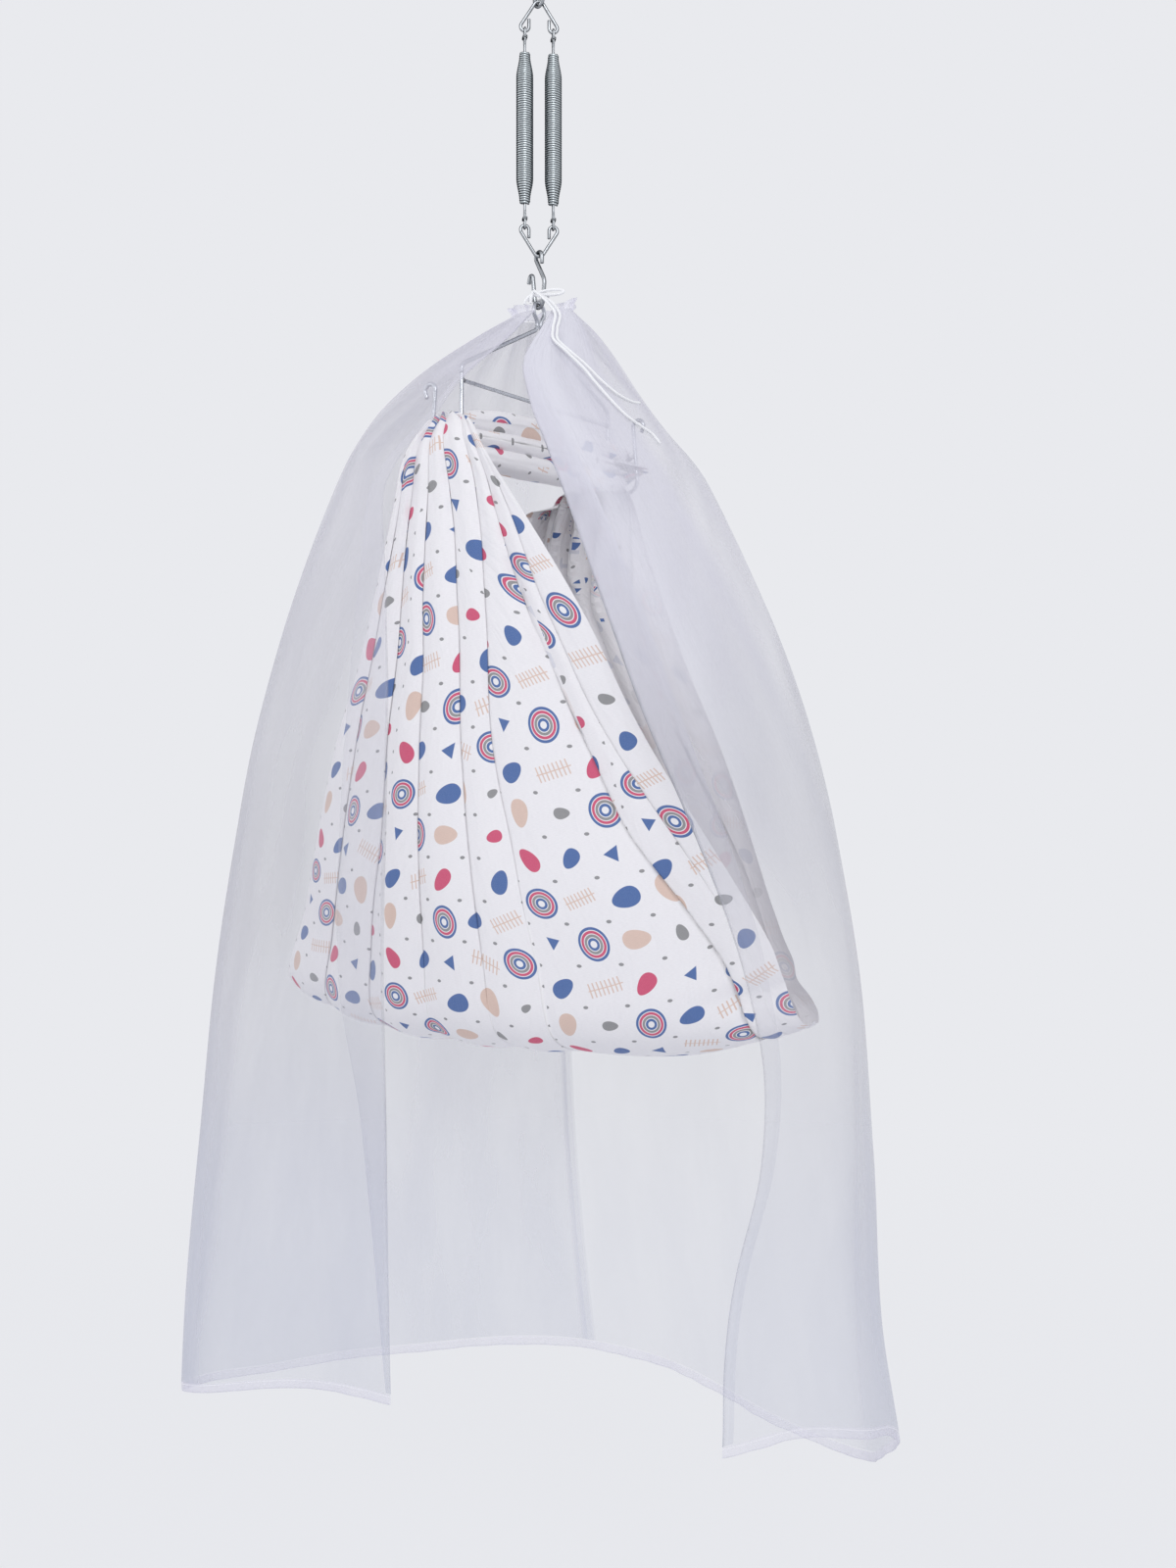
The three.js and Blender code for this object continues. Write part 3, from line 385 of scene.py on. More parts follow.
def print_group():
    """The sling's print: rings, pebbles, wedges and stroked stems in a half-drop repeat, over UV in metres."""
    colours = "NodeSocketColor"
    names = ["Ground", "Blue", "Crimson", "Sand", "Slate"]
    inputs = [("Vector", VECTOR, None)] + [(name, colours, (1.0, 1.0, 1.0, 1.0)) for name in names]
    tree, w, given, out = new_group("Nursery Print", inputs, [("Colour", colours), ("Ink", FLOAT)])
    u, v, _ = w.parts(given["Vector"])
    column = w.maths("FLOOR", w.maths("DIVIDE", u, TILE))
    odd = w.maths("MODULO", w.size_of(column), 2.0)
    dropped = w.total(v, w.product(odd, TILE / 2))
    x, y = w.maths("WRAP", u, TILE, 0.0), w.maths("WRAP", dropped, TILE, 0.0)
    place = w.vector(x, y)
    groups = {"R": ring_group(), "W": wedge_group(), "T": comb_group()}
    pebble = pebble_group()
    masks = {name: [] for name in names[1:]}
    noise.seed_set(MOTIF_SEED)
    for row, letters in enumerate(TILE_ROWS):
        for cell, letter in enumerate(letters):
            node = w.group(groups.get(letter, pebble), Vector=place, **motif_at(row, cell, letter))
            inks = RING_INKS if letter == "R" else {"Mask": MOTIF_INKS[letter]}
            for output, ink in inks.items():
                masks[ink].append(node.outputs[output])
    dot_x, dot_y = (w.maths("WRAP", w.total(part, CELL / 2), CELL, 0.0) for part in (x, y))
    spot = w.vectors("SUBTRACT", w.vector(dot_x, dot_y), (CELL / 2, CELL / 2, 0.0))
    reach = w.vectors("LENGTH", w.vectors("MULTIPLY", spot, (1.0, 1.5, 1.0)))
    masks["Slate"].append(w.range(reach, *DOT_RADII, 1.0, 0.0))
    slants = (w.maths(operation, u, v) for operation in ("ADD", "SUBTRACT"))
    twill, cross = (w.maths("SINE", w.product(slant, math.pi / PRINT_THREAD)) for slant in slants)
    cover = w.range(w.product(twill, cross), -0.9, 0.3, 0.80, 1.0)
    colour, ink = given["Ground"], None
    for name, found in masks.items():
        mask = found[0]
        for other in found[1:]:
            mask = w.greater(mask, other)
        ink = mask if ink is None else w.greater(ink, mask)
        colour = w.mix(w.product(mask, cover), colour, given[name])
    w.set(out, "Colour", colour)
    w.set(out, "Ink", ink)
    return tree


GROUPS = {}


def shared(maker):
    """The node group that a maker builds, made the first time it is asked for."""
    if maker not in GROUPS:
        GROUPS[maker] = maker()
    return GROUPS[maker]


def new_material(name):
    """An empty material with a Principled BSDF on its output."""
    material = bpy.data.materials.new(name)
    material.use_nodes = True
    wiring = Wiring(material.node_tree)
    shader = material.node_tree.nodes["Principled BSDF"]
    return material, wiring, shader


def metal(name, colour, roughness, cloud=90.0, dull=0.55, edge=(0.35, 0.85)):
    """Plated wire: brighter and duller clouds, fine drawing marks, a few dark pits, and painted shade where it turns
    away from the camera.
    """
    pit_shade, painted_edge_shade = 0.25, 0.16
    material, w, shader = new_material(name)
    coordinates = w.add("ShaderNodeTexCoord").outputs["Object"]
    plating = w.group(shared(plating_group), Vector=coordinates, Cloud=cloud).outputs
    base = w.mix(w.product(plating["Tarnish"], 0.55), colour, times(colour, dull))
    base = w.mix(w.product(plating["Pits"], 0.7), base, times(colour, pit_shade))
    # Painted shade: the colour darkens where the wire turns away from the camera, over the edge range of its facing.
    facing = w.add("ShaderNodeLayerWeight", {"Blend": 0.5}).outputs["Facing"]
    base = w.mix(w.range(facing, *edge), base, times(colour, painted_edge_shade))
    marks = w.product(plating["Marks"], 0.06)
    dulled = w.product(plating["Tarnish"], 0.1)
    worn = w.total(w.total(marks, dulled), roughness)
    w.finish(shader, base_color=base, metallic=1.0, specular_tint=(0.3, 0.31, 0.33, 1.0), roughness=worn)
    return material


def cotton_material(settings):
    """Printed cotton over UV in metres: weave, creases, thick and thin yarn, and a print that fades on the back."""
    material, w, shader = new_material("printed cotton")
    uv = w.add("ShaderNodeUVMap", uv_map="cloth").outputs[0]
    weave = w.group(shared(weave_group), Vector=uv, Pitch=0.00055)
    creases = w.group(shared(wrinkle_group), Vector=uv)
    names = ("Blue", "Crimson", "Sand", "Slate")
    colours = {name: opaque(getattr(settings, name.lower())) for name in names}
    motifs = w.group(shared(print_group), Vector=uv, Ground=opaque(settings.cotton), **colours)
    slub = w.range(w.noise(w.vectors("MULTIPLY", uv, (1.0, 12.0, 1.0)), 190.0, 2.0), 0.3, 0.7, 0.965, 1.02)
    inside = w.product(w.add("ShaderNodeNewGeometry").outputs["Backfacing"], 0.8)
    shade = w.vectors("SCALE", w.mix(inside, motifs.outputs["Colour"], times(settings.cotton, 0.97)))
    w.set(shade.node, "Scale", slub)
    rough = w.range(motifs.outputs["Ink"], 0.0, 1.0, 0.86, 0.72)
    coarse = w.bump(creases.outputs["Height"], 0.0032, 0.8)
    normal = w.bump(weave.outputs["Height"], 0.00012, 0.6, coarse)
    w.finish(shader, base_color=shade, roughness=rough, specular_ior_level=0.25, sheen_weight=0.12,
             sheen_roughness=0.5, normal=normal)
    return material


STITCH_HALF, STITCH_LINE = 0.0014, 0.002  # half a stitch's pitch, and how far the seam lies from the edge
STITCH_EDGE = (0.0003, 0.0006)


def voile_material(name, settings, tint=1.0, stitches=False):
    """Sheer net: it hides more where it is gathered, which the piece's own 'gather' attribute says, and where it is
    seen edge-on, and it lets most light through."""
    material, w, shader = new_material(name)
    uv = w.add("ShaderNodeUVMap", uv_map="cloth").outputs[0]
    gather = w.add("ShaderNodeAttribute", attribute_name="gather").outputs["Fac"]
    weave = w.group(shared(weave_group), Vector=uv, Pitch=0.0008)
    creases = w.group(shared(wrinkle_group), Vector=uv)
    uneven = w.range(w.noise(w.vectors("MULTIPLY", uv, (1.5, 0.5, 1.0)), 9.0, 3.0, 0.5), 0.3, 0.7, 0.86, 1.14)
    facing = w.add("ShaderNodeLayerWeight", {"Blend": 0.5}).outputs["Facing"]
    slant = w.greater(w.excess(1.0, facing), 0.36)
    layers = w.maths("DIVIDE", w.product(gather, uneven), slant)
    hidden = w.excess(1.0, w.maths("POWER", 1.0 - settings.cover, layers))
    holes = w.range(weave.outputs["Holes"], 0.0, 1.0, 1.0, 0.97)
    colour = tuple(min(part * tint, 0.95) for part in settings.voile)
    u, v, _ = w.parts(uv)
    # Painted shade: the voile darkens from the neck to about halfway down, and below that the painted shade turns
    # bluer towards the hem.
    base = w.mix(w.range(v, 0.2, 0.7), colour, times(colour, 0.8, 0.81, 0.8))
    base = w.mix(w.range(v, 0.8, 1.3), base, times(colour, 0.78, 0.82, 0.87))
    base = w.mix(w.range(gather, 1.5, 6.0, 0.0, 0.5), base, (0.8, 0.8, 0.86))
    path = w.add("ShaderNodeLightPath").outputs
    lit = w.greater(path["Is Shadow Ray"], path["Is Diffuse Ray"])
    alpha = w.maths("MULTIPLY", hidden, holes, clamp=True)
    if stitches:
        dash = w.range(w.maths("PINGPONG", u, STITCH_HALF), *STITCH_EDGE)
        row = w.range(w.size_of(w.excess(v, STITCH_LINE)), *STITCH_EDGE, 1.0, 0.0)
        thread = w.product(dash, row)
        base = w.mix(thread, base, (0.9, 0.9, 0.93))
        alpha = w.greater(alpha, w.product(thread, 0.8))
    seen = w.product(alpha, w.range(lit, 0.0, 1.0, 1.0, 0.4))
    w.finish(shader, base_color=base, alpha=seen, roughness=0.7, specular_ior_level=0.3, sheen_weight=0.15,
             sheen_roughness=0.4, normal=w.bump(creases.outputs["Height"], 0.004, 0.7))
    return material


def cord_material(settings):
    """Braided cord over UV: U along it in metres, V once round it."""
    braid_pitch, strands_round = 0.0052, 4
    material, w, shader = new_material("braided cord")
    uv = w.add("ShaderNodeUVMap", uv_map="cord").outputs[0]
    u, v, _ = w.parts(uv)
    along = w.product(u, 2 * math.pi / braid_pitch)
    around = w.product(v, 2 * math.pi * strands_round)
    left, right = (w.maths("SINE", w.maths(operation, along, around)) for operation in ("ADD", "SUBTRACT"))
    braid = w.product(w.greater(left, right), 0.5)
    # Painted shade: the cord is a little darker in the grooves between the braid's strands.
    shade = w.range(braid, -0.2, 0.5, 0.95, 1.0)
    fuzz = w.range(w.noise(uv, 900.0, 2.0), 0.3, 0.7, 0.95, 1.03)
    colour = w.vectors("SCALE", tuple(settings.white))
    w.set(colour.node, "Scale", w.product(shade, fuzz))
    w.finish(shader, base_color=colour, roughness=0.8, sheen_weight=0.15, normal=w.bump(braid, 0.0002, 0.5))
    return material


MATERIALS = {}


def finish_of(name):
    """The named finish, made the first time it is asked for."""
    if name not in MATERIALS:
        scene = bpy.context.scene
        wires, net = scene.cradle_wires, scene.cradle_net
        # Each metal's edge range says where the painted shade at its turned-away edges begins and ends.
        bright, coil = {"dull": 0.75, "edge": (0.2, 0.66)}, {"cloud": 60.0, "dull": 0.85, "edge": (0.14, 0.6)}
        makers = {
            "zinc": lambda: metal("bright zinc plate", tuple(wires.zinc), 0.2, **bright),
            "spring": lambda: metal("zinc spring wire", tuple(wires.spring_zinc), 0.2, **coil),
            "nickel": lambda: metal("nickel-plated wire", tuple(wires.nickel), 0.22, dull=0.85, edge=(0.55, 0.95)),
            "weld": lambda: metal("weld bead", (0.34, 0.34, 0.36), 0.42, cloud=300.0),
            "cotton": lambda: cotton_material(scene.cradle_sling),
            "voile": lambda: voile_material("voile", net),
            "hem": lambda: voile_material("voile hem", net, tint=1.1, stitches=True),
            # The ruffle is a lighter copy of the voile: painted light that lifts the shade in its own gathers.
            "ruffle": lambda: voile_material("voile ruffle", net, tint=1.3, stitches=True),
            "cord": lambda: cord_material(scene.cradle_cord),
        }
        MATERIALS[name] = makers[name]()
    return MATERIALS[name]


# ---------------------------------------------------------------- making pieces

WIRE_CORNER = 35  # degrees: a cut end's edge stays sharp above it
CORD_CORNER = 50


def add_object(name, bm, finish, sharp=None):
    """Turns a bmesh into an object at the origin with smooth shading."""
    mesh = bpy.data.meshes.new(name)
    bm.to_mesh(mesh)
    bm.free()
    mesh.materials.append(finish_of(finish))
    mesh.shade_smooth()
    if sharp is not None:
        mesh.set_sharp_from_angle(angle=math.radians(sharp))
    piece = bpy.data.objects.new(name, mesh)
    bpy.context.scene.collection.objects.link(piece)
    return piece


def add_piece(name, bm, finish, body, *nodes, sharp=None):
    """An object that rides on a body, takes its finish's material and hides the CAD nodes that it stands in for."""
    piece = add_object(name, bm, finish, sharp)
    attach(piece, body)
    if nodes:
        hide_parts(*nodes)
    return piece


def cloth_grid(columns, rows, place, gathered=False):
    """A grid of cloth. place(column, row) gives a vertex's point, its UV in metres and how gathered the cloth is."""
    bm = bmesh.new()
    layer = bm.loops.layers.uv.new("cloth")
    gather = bm.verts.layers.float.new("gather") if gathered else None
    bmesh.ops.create_grid(bm, x_segments=columns, y_segments=rows, size=0.5)
    flat = {}
    for vert in bm.verts:
        column, row = round((vert.co.x + 0.5) * columns), round((vert.co.y + 0.5) * rows)
        vert.co, flat[vert], packed = place(column, row)
        if gathered:
            vert[gather] = packed
    for face in bm.faces:
        for loop in face.loops:
            loop[layer].uv = flat[loop.vert]
    return bm


def close_ends(bm):
    """Fills the open rims and returns the new faces."""
    open_edges = [edge for edge in bm.edges if edge.is_boundary]
    return bmesh.ops.holes_fill(bm, edges=open_edges, sides=0)["faces"]


FACING = Vector((0, -1, 0))
END_BREAK = 0.14  # how far a cut end's edge is broken, of the wire's diameter


def heading_at(degrees):
    """A direction in the XZ plane, from +X towards +Z."""
    turn = math.radians(degrees)
    return Vector((math.cos(turn), 0, math.sin(turn)))


class WireBender:
    """A wire on a bending bench: fed straight ahead or bent round a former. Positive bends turn it
    anticlockwise as seen against the axis."""

    def __init__(self, start, heading, diameter, sides=16, axis=FACING):
        self.place, self.heading, self.axis = Vector(start), Vector(heading).normalized(), Vector(axis)
        self.diameter = diameter
        self.bm = bmesh.new()
        rim = bmesh.ops.create_circle(self.bm, segments=sides, radius=diameter / 2)["verts"]
        turned = self.heading.to_track_quat("Z", "Y").to_matrix().to_4x4()
        bmesh.ops.transform(self.bm, matrix=Matrix.Translation(self.place) @ turned, verts=rim)
        self.rim = self.bm.edges[:]

    def feed(self, length):
        made = bmesh.ops.extrude_edge_only(self.bm, edges=self.rim)["geom"]
        points = [part for part in made if isinstance(part, bmesh.types.BMVert)]
        self.place += self.heading * length
        bmesh.ops.translate(self.bm, verts=points, vec=self.heading * length)
        fresh = set(points)
        self.rim = [e for e in made if isinstance(e, bmesh.types.BMEdge) and set(e.verts) <= fresh]
        return self

    def bend(self, radius, degrees, step=7.5):
        axis = self.axis * math.copysign(1, degrees)
        turn = math.radians(abs(degrees))
        centre = self.place + axis.cross(self.heading) * radius
        points = list(dict.fromkeys(v for e in self.rim for v in e.verts))
        steps = max(3, round(abs(degrees) / step))
        made = bmesh.ops.spin(self.bm, geom=points + self.rim, cent=centre, axis=axis, angle=turn, steps=steps)
        turned = Matrix.Rotation(turn, 3, axis)
        self.place = centre + turned @ (self.place - centre)
        self.heading = turned @ self.heading
        self.rim = [e for e in made["geom_last"] if isinstance(e, bmesh.types.BMEdge)]
        middle = sum((v.co for e in self.rim for v in e.verts), Vector()) / (2 * len(self.rim))
        if (middle - self.place).length > self.diameter:
            raise RuntimeError("a bend went the wrong way")
        return self

    def both_halves(self):
        """Mirrors the wire at X = 0, where it began."""
        geometry = self.bm.verts[:] + self.bm.edges[:] + self.bm.faces[:]
        bmesh.ops.mirror(self.bm, geom=geometry, matrix=Matrix.Identity(4), merge_dist=1e-6, axis="X")
        return self

    def finish(self, matrix=None):
        """Closes both cut ends, breaks their edges and places the wire."""
        rims = list(dict.fromkeys(edge for face in close_ends(self.bm) for edge in face.edges))
        if rims:
            broken = self.diameter * END_BREAK
            bmesh.ops.bevel(self.bm, geom=rims, offset=broken, segments=3, profile=0.5, affect="EDGES", material=-1)
        bmesh.ops.recalc_face_normals(self.bm, faces=self.bm.faces[:])
        if matrix is not None:
            bmesh.ops.transform(self.bm, matrix=matrix, verts=self.bm.verts[:])
        return self.bm


def at(x=0.0, y=0.0, z=0.0, yaw=0.0, flip=False):
    """A place: flipped about X if asked, turned about Z by degrees, then moved."""
    turned = Matrix.Rotation(math.radians(yaw), 4, "Z")
    if flip:
        turned = turned @ Matrix.Rotation(math.pi, 4, "X")
    return Matrix.Translation((x, y, z)) @ turned


def bend_shift(radius, enter, leave):
    """How far a clockwise bend carries the wire from one heading to another."""
    return (heading_at(enter - 90) - heading_at(leave - 90)) * radius


def hook_mesh(wire, place):
    """The S-hook, from the tip of its upper bend to the curl at the end of its free limb."""
    upper, shoulder, lower, curl = 0.0066, 0.014, 0.0092, 0.0038  # bend radii
    tail, drop, free_limb, tip, lean, taper = 0.009, 0.0708, 0.034, 0.007, 33, 8
    shank, limb = 270 + lean, 270 - taper
    bender = WireBender((upper, 0, -upper - tail), heading_at(90), wire, 20)
    bender.feed(tail).bend(upper, 180 + lean)
    left = Vector((0, 0, -drop)) - bender.place
    left -= bend_shift(shoulder, shank, limb) + bend_shift(lower, limb, 180)
    first, second = heading_at(shank), heading_at(limb)
    spread = first.x * second.z - first.z * second.x
    bender.feed((left.x * second.z - left.z * second.x) / spread).bend(shoulder, -lean - taper)
    bender.feed((first.x * left.z - first.z * left.x) / spread).bend(lower, -180 + 2 * taper)
    bender.feed(free_limb).bend(curl, 155, 10).feed(tip)
    return bender.finish(place)


def link_mesh(wire, place):
    """The V-link: its apex at the local origin and an eye at the end of each leg."""
    apex, eye, spread, height, gap = 0.0068, 0.0054, EYE_SPREAD, 0.033, 0.0003
    along = height - apex
    between = math.hypot(spread, along)
    lean = math.acos((apex - eye) / between) - math.atan2(along, spread)
    leg = math.sqrt(between**2 - (apex - eye) ** 2)
    tail_end = (wire + gap - apex * (1 - math.sin(lean)) + (spread - eye) * math.cos(lean)) / math.sin(lean)
    bender = WireBender((0, 0, 0), heading_at(0), wire, 18)
    bender.bend(apex, 90 - math.degrees(lean)).feed(leg)
    bender.bend(eye, 180 + math.degrees(lean)).feed(height - tail_end)
    return bender.both_halves().finish(place)


def swivel_loop_mesh(wire, link_wire, place):
    """The loop that carries a spring in an eye: over the eye, through the collar, and into the cone."""
    gap, neck, small, lean = 0.00035, 0.00225, 0.004, 12
    shoulder, leg, foot_bend, foot = 0.011, 0.017, 0.002, 0.0022
    radius, turn = link_wire / 2 + gap + wire / 2, math.radians(lean)
    inward = radius - neck - 2 * small * (1 - math.cos(turn))
    bender = WireBender((0, 0, radius), heading_at(0), wire, 14)
    bender.bend(radius, -90, 10).feed(shoulder).bend(small, -lean, 4)
    bender.feed(inward / math.sin(turn)).bend(small, lean, 4).feed(leg)
    bender.bend(foot_bend, 90, 15).feed(foot)
    return bender.both_halves().finish(place)


def collar_mesh(wire, link_wire, place):
    """Two turns of thin wire wrapped round both legs of a loop, drawn tight."""
    gap, gauge, half_pitch = 0.0003, 0.00142, 0.00078
    straight, round_leg = link_wire / 2 + gap + wire / 2, wire / 2 + gap + gauge / 2
    made = bmesh.new()
    for drop in (-half_pitch, half_pitch):
        bender = WireBender((-straight, -round_leg, drop), (1, 0, 0), gauge, 12, axis=(0, 0, 1))
        for _ in range(2):
            bender.feed(2 * straight).bend(round_leg, 180, 12)
        bmesh.ops.remove_doubles(bender.bm, verts=bender.bm.verts[:], dist=1e-5)
        ring = bpy.data.meshes.new("collar turn")
        bender.finish(place).to_mesh(ring)
        bender.bm.free()
        made.from_mesh(ring)
        bpy.data.meshes.remove(ring)
    return made


SPRING_RADIUS, CONE_RADIUS, COIL_LENGTH, LOOP_REACH = 0.0096, 0.0057, 0.192, 0.028
COIL_TOP_Z = UPPER_EYE_Z - LOOP_REACH
CONE_TURNS = 11


def cone_radius(share):
    """The coil's radius at a share of a cone's turns, counted from the spring's end."""
    drawn_in = 1 - 0.2 * fade(share, 0.0, 0.09)
    return CONE_RADIUS * drawn_in + (SPRING_RADIUS - CONE_RADIUS) * smoothstep(share, 0.12, 1.0)


def coil_mesh(wire, turns, place):
    """A close-wound extension spring whose first and last turns close in to a cone."""
    sides, steps = 10, 30
    bm = bmesh.new()
    rim = bmesh.ops.create_circle(bm, segments=sides, radius=wire / 2)["verts"]
    stood = Matrix.Translation((cone_radius(0), 0, 0)) @ Matrix.Rotation(math.pi / 2, 4, "X")
    bmesh.ops.transform(bm, matrix=stood, verts=rim)
    drop, turn = COIL_LENGTH / (turns * steps), 2 * math.pi / steps
    ends = rim + bm.edges[:]

    def wind(ends, count):
        made = bmesh.ops.spin(bm, geom=ends, cent=(0, 0, 0), axis=(0, 0, 1), angle=turn * count, steps=count,
                              dvec=(0, 0, -drop))
        return [part for part in made["geom_last"] if not isinstance(part, bmesh.types.BMFace)]

    def cone(ends, opening):
        """Winds the cone's turns one step at a time, each step a little wider or narrower than the last."""
        count = CONE_TURNS * steps
        radii = [cone_radius((step if opening else count - step) / count) for step in range(count + 1)]
        for start, end in zip(radii, radii[1:]):
            ends = wind(ends, 1)
            points = [part for part in ends if isinstance(part, bmesh.types.BMVert)]
            middle = sum((point.co for point in points), Vector()) / len(points)
            outward = Vector((middle.x, middle.y, 0)).normalized()
            bmesh.ops.translate(bm, verts=points, vec=outward * (end - start))
        return ends

    ends = cone(ends, True)
    ends = wind(ends, (turns - 2 * CONE_TURNS) * steps)
    cone(ends, False)
    close_ends(bm)
    bmesh.ops.recalc_face_normals(bm, faces=bm.faces[:])
    bmesh.ops.transform(bm, matrix=place, verts=bm.verts[:])
    return bm


# ---------------------------------------------------------------- smooth lines and cords


def hermite(t, first, leaving, second, reaching):
    """The way from the first value to the second, which leaves with one slope and arrives with another."""
    squared, cubed = t**2, t**3
    start = (2 * cubed - 3 * squared + 1) * first + (cubed - 2 * squared + t) * leaving
    return start + ((3 * squared - 2 * cubed) * second + (cubed - squared) * reaching)


def value_at(shares, values, share):
    """A smooth line through values that stand at rising shares from 0 to 1."""
    last = len(shares) - 1
    index = 0
    while index < last - 1 and share > shares[index + 1]:
        index += 1
    span = shares[index + 1] - shares[index]
    within = min(max((share - shares[index]) / span, 0.0), 1.0)

    def slope(place):
        low, high = max(place - 1, 0), min(place + 1, last)
        return (values[high] - values[low]) / (shares[high] - shares[low]) * span

    return hermite(within, values[index], slope(index), values[index + 1], slope(index + 1))


def smoothstep(value, low, high):
    """0 up to the low value, 1 from the high one on, and a smooth rise between."""
    share = min(max((value - low) / (high - low), 0.0), 1.0)
    return share * share * (3 - 2 * share)


def fade(value, low, high):
    """The opposite of smoothstep."""
    return 1 - smoothstep(value, low, high)


def lerp(first, second, share):
    """The value at a share of the way from the first to the second."""
    return first + (second - first) * share


def along_route(route, spacing):
    """Even steps along a smooth curve through the route's points, which are in millimetres from the ring's top."""
    points = [Vector(point) * 0.001 + Vector((0, 0, RING_TOP_Z)) for point in route]
    points = [points[0] * 2 - points[1], *points, points[-1] * 2 - points[-2]]
    dense = []
    for index in range(1, len(points) - 2):
        before, here, after, beyond = points[index - 1 : index + 3]
        gaps = ((before, here), (here, after), (after, beyond))
        first, second, third = (max((b - a).length, 1e-9) ** 0.5 for a, b in gaps)
        start = ((here - before) / first - (after - before) / (first + second) + (after - here) / second) * second
        end = ((after - here) / second - (beyond - here) / (second + third) + (beyond - after) / third) * second
        dense += [hermite(step / 16, here, start, after, end) for step in range(16)]
    dense.append(points[-2])
    lengths = running_lengths(dense)
    return evenly(dense, lengths, max(2, round(lengths[-1] / spacing)))


def running_lengths(points):
    """How long the line is up to each of its points."""
    lengths = [0.0]
    for first, second in zip(points, points[1:]):
        lengths.append(lengths[-1] + (second - first).length)
    return lengths


def evenly(points, lengths, count):
    """The same line in equal steps."""
    made, index = [], 0
    for step in range(count + 1):
        want = lengths[-1] * step / count
        while index < len(points) - 2 and lengths[index + 1] < want:
            index += 1
        span = max(lengths[index + 1] - lengths[index], 1e-12)
        made.append(points[index].lerp(points[index + 1], (want - lengths[index]) / span))
    return made


def cord_mesh(points, diameter, closed=False, sides=12):
    """A cord along its points: a ring drawn along them. Its UV holds the length along it and the share round it."""
    bm = bmesh.new()
    layer = bm.loops.layers.uv.new("cord")
    if closed:
        before, after = [points[-1], *points[:-1]], [*points[1:], points[0]]
    else:
        before, after = [points[0], *points[:-1]], [*points[1:], points[-1]]
    tangents = [(ahead - behind).normalized() for behind, ahead in zip(before, after)]
    rim = bmesh.ops.create_circle(bm, segments=sides, radius=diameter / 2)["verts"]
    facing = tangents[0].to_track_quat("Z", "Y")
    bmesh.ops.transform(bm, matrix=Matrix.Translation(points[0]) @ facing.to_matrix().to_4x4(), verts=rim)
    places = {vert: (0.0, side / sides) for side, vert in enumerate(rim)}
    first, edges, length = list(rim), bm.edges[:], 0.0
    for index in range(1, len(points)):
        made = bmesh.ops.extrude_edge_only(bm, edges=edges)["geom"]
        fresh = [part for part in made if isinstance(part, bmesh.types.BMVert)]
        known = set(fresh)
        length += (points[index] - points[index - 1]).length
        for vert in fresh:
            old = next(e.other_vert(vert) for e in vert.link_edges if e.other_vert(vert) not in known)
            places[vert] = (length, places[old][1])
        turned = tangents[index - 1].rotation_difference(tangents[index]).to_matrix().to_4x4()
        moved = Matrix.Translation(points[index]) @ turned @ Matrix.Translation(-points[index - 1])
        bmesh.ops.transform(bm, matrix=moved, verts=fresh)
        edges = [e for e in made if isinstance(e, bmesh.types.BMEdge) and set(e.verts) <= known]
        rim = fresh
    if closed:
        bmesh.ops.bridge_loops(bm, edges=edges + [e for e in bm.edges if set(e.verts) <= set(first)])
    else:
        bmesh.ops.inset_region(bm, faces=close_ends(bm), thickness=diameter * 0.12, depth=diameter * 0.05)
    for face in bm.faces:
        turns = [places.get(loop.vert, (0.0, 0.0))[1] for loop in face.loops]
        wraps = max(turns) - min(turns) > 0.5
        for loop in face.loops:
            run, turn = places.get(loop.vert, (0.0, 0.0))
            loop[layer].uv = (run, turn + 1 if wraps and turn < 0.5 else turn)
    bmesh.ops.recalc_face_normals(bm, faces=bm.faces[:])
    return bm


# ---------------------------------------------------------------- the sling's shape

# The frame that carries the cloth. Its heights, and the cloth's, are counted from the ring's top.
HALF_SPAN, FRAME_GAUGE = 0.158, 0.005
HANGER_END = -0.11995
HOOK_DEPTH, HOOK_WIDTH, HOOK_RADIUS = 0.103, 0.047, 0.016
CROSSBAR_DROP = 0.009

# The cloth's bunch in a hook, and the pocket below it.
BUNCH_BOTTOM = HANGER_END - HOOK_DEPTH + FRAME_GAUGE / 2 + 0.0003
BUNCH_WIDTH, BUNCH_HEIGHT = 0.035, 0.057
BUNCH_TOP = BUNCH_BOTTOM + BUNCH_HEIGHT
BUNCH_CENTRE = -(FRAME_GAUGE + BUNCH_WIDTH) / 2 - 0.0012
SLING_DEPTH, DOME_REACH, END_RISE, HALF_LENGTH = 0.945, 0.046, 0.058, 0.41
CENTRE_SHIFT, MIDDLE_MOVE, END_PINCH, EDGE_ROUNDING = -0.021, 0.036, 0.62, 0.013

# By share of the way down: how far out and how deep the cloth lies, how wide it fans out and where its middle is.
OUTER_ROWS = (0, 0.02, 0.045, 0.08, 0.13, 0.3, 0.68, 0.87, 0.93, 0.97, 1)
OUTER_REACH = (0.92, 1, 1, 0.97, 0.84, 0.66, 0.53, 0.31, 0)
OUTER_DROP = (0.015, 0.055, 0.13, 0.33, 0.71, 0.9, 0.96, 0.99, 1)
FAN_ROWS = (0, 0.02, 0.045, 0.08, 0.13, 0.3, 0.49, 0.83, 1)
FAN_WIDTHS = (0.09, 0.14, 0.21, 0.4, 0.58, 0.87, 1)
FAN_MIDDLES = (0.6, 0.8, 1, 1.1, 0.7, 0.6, 0)


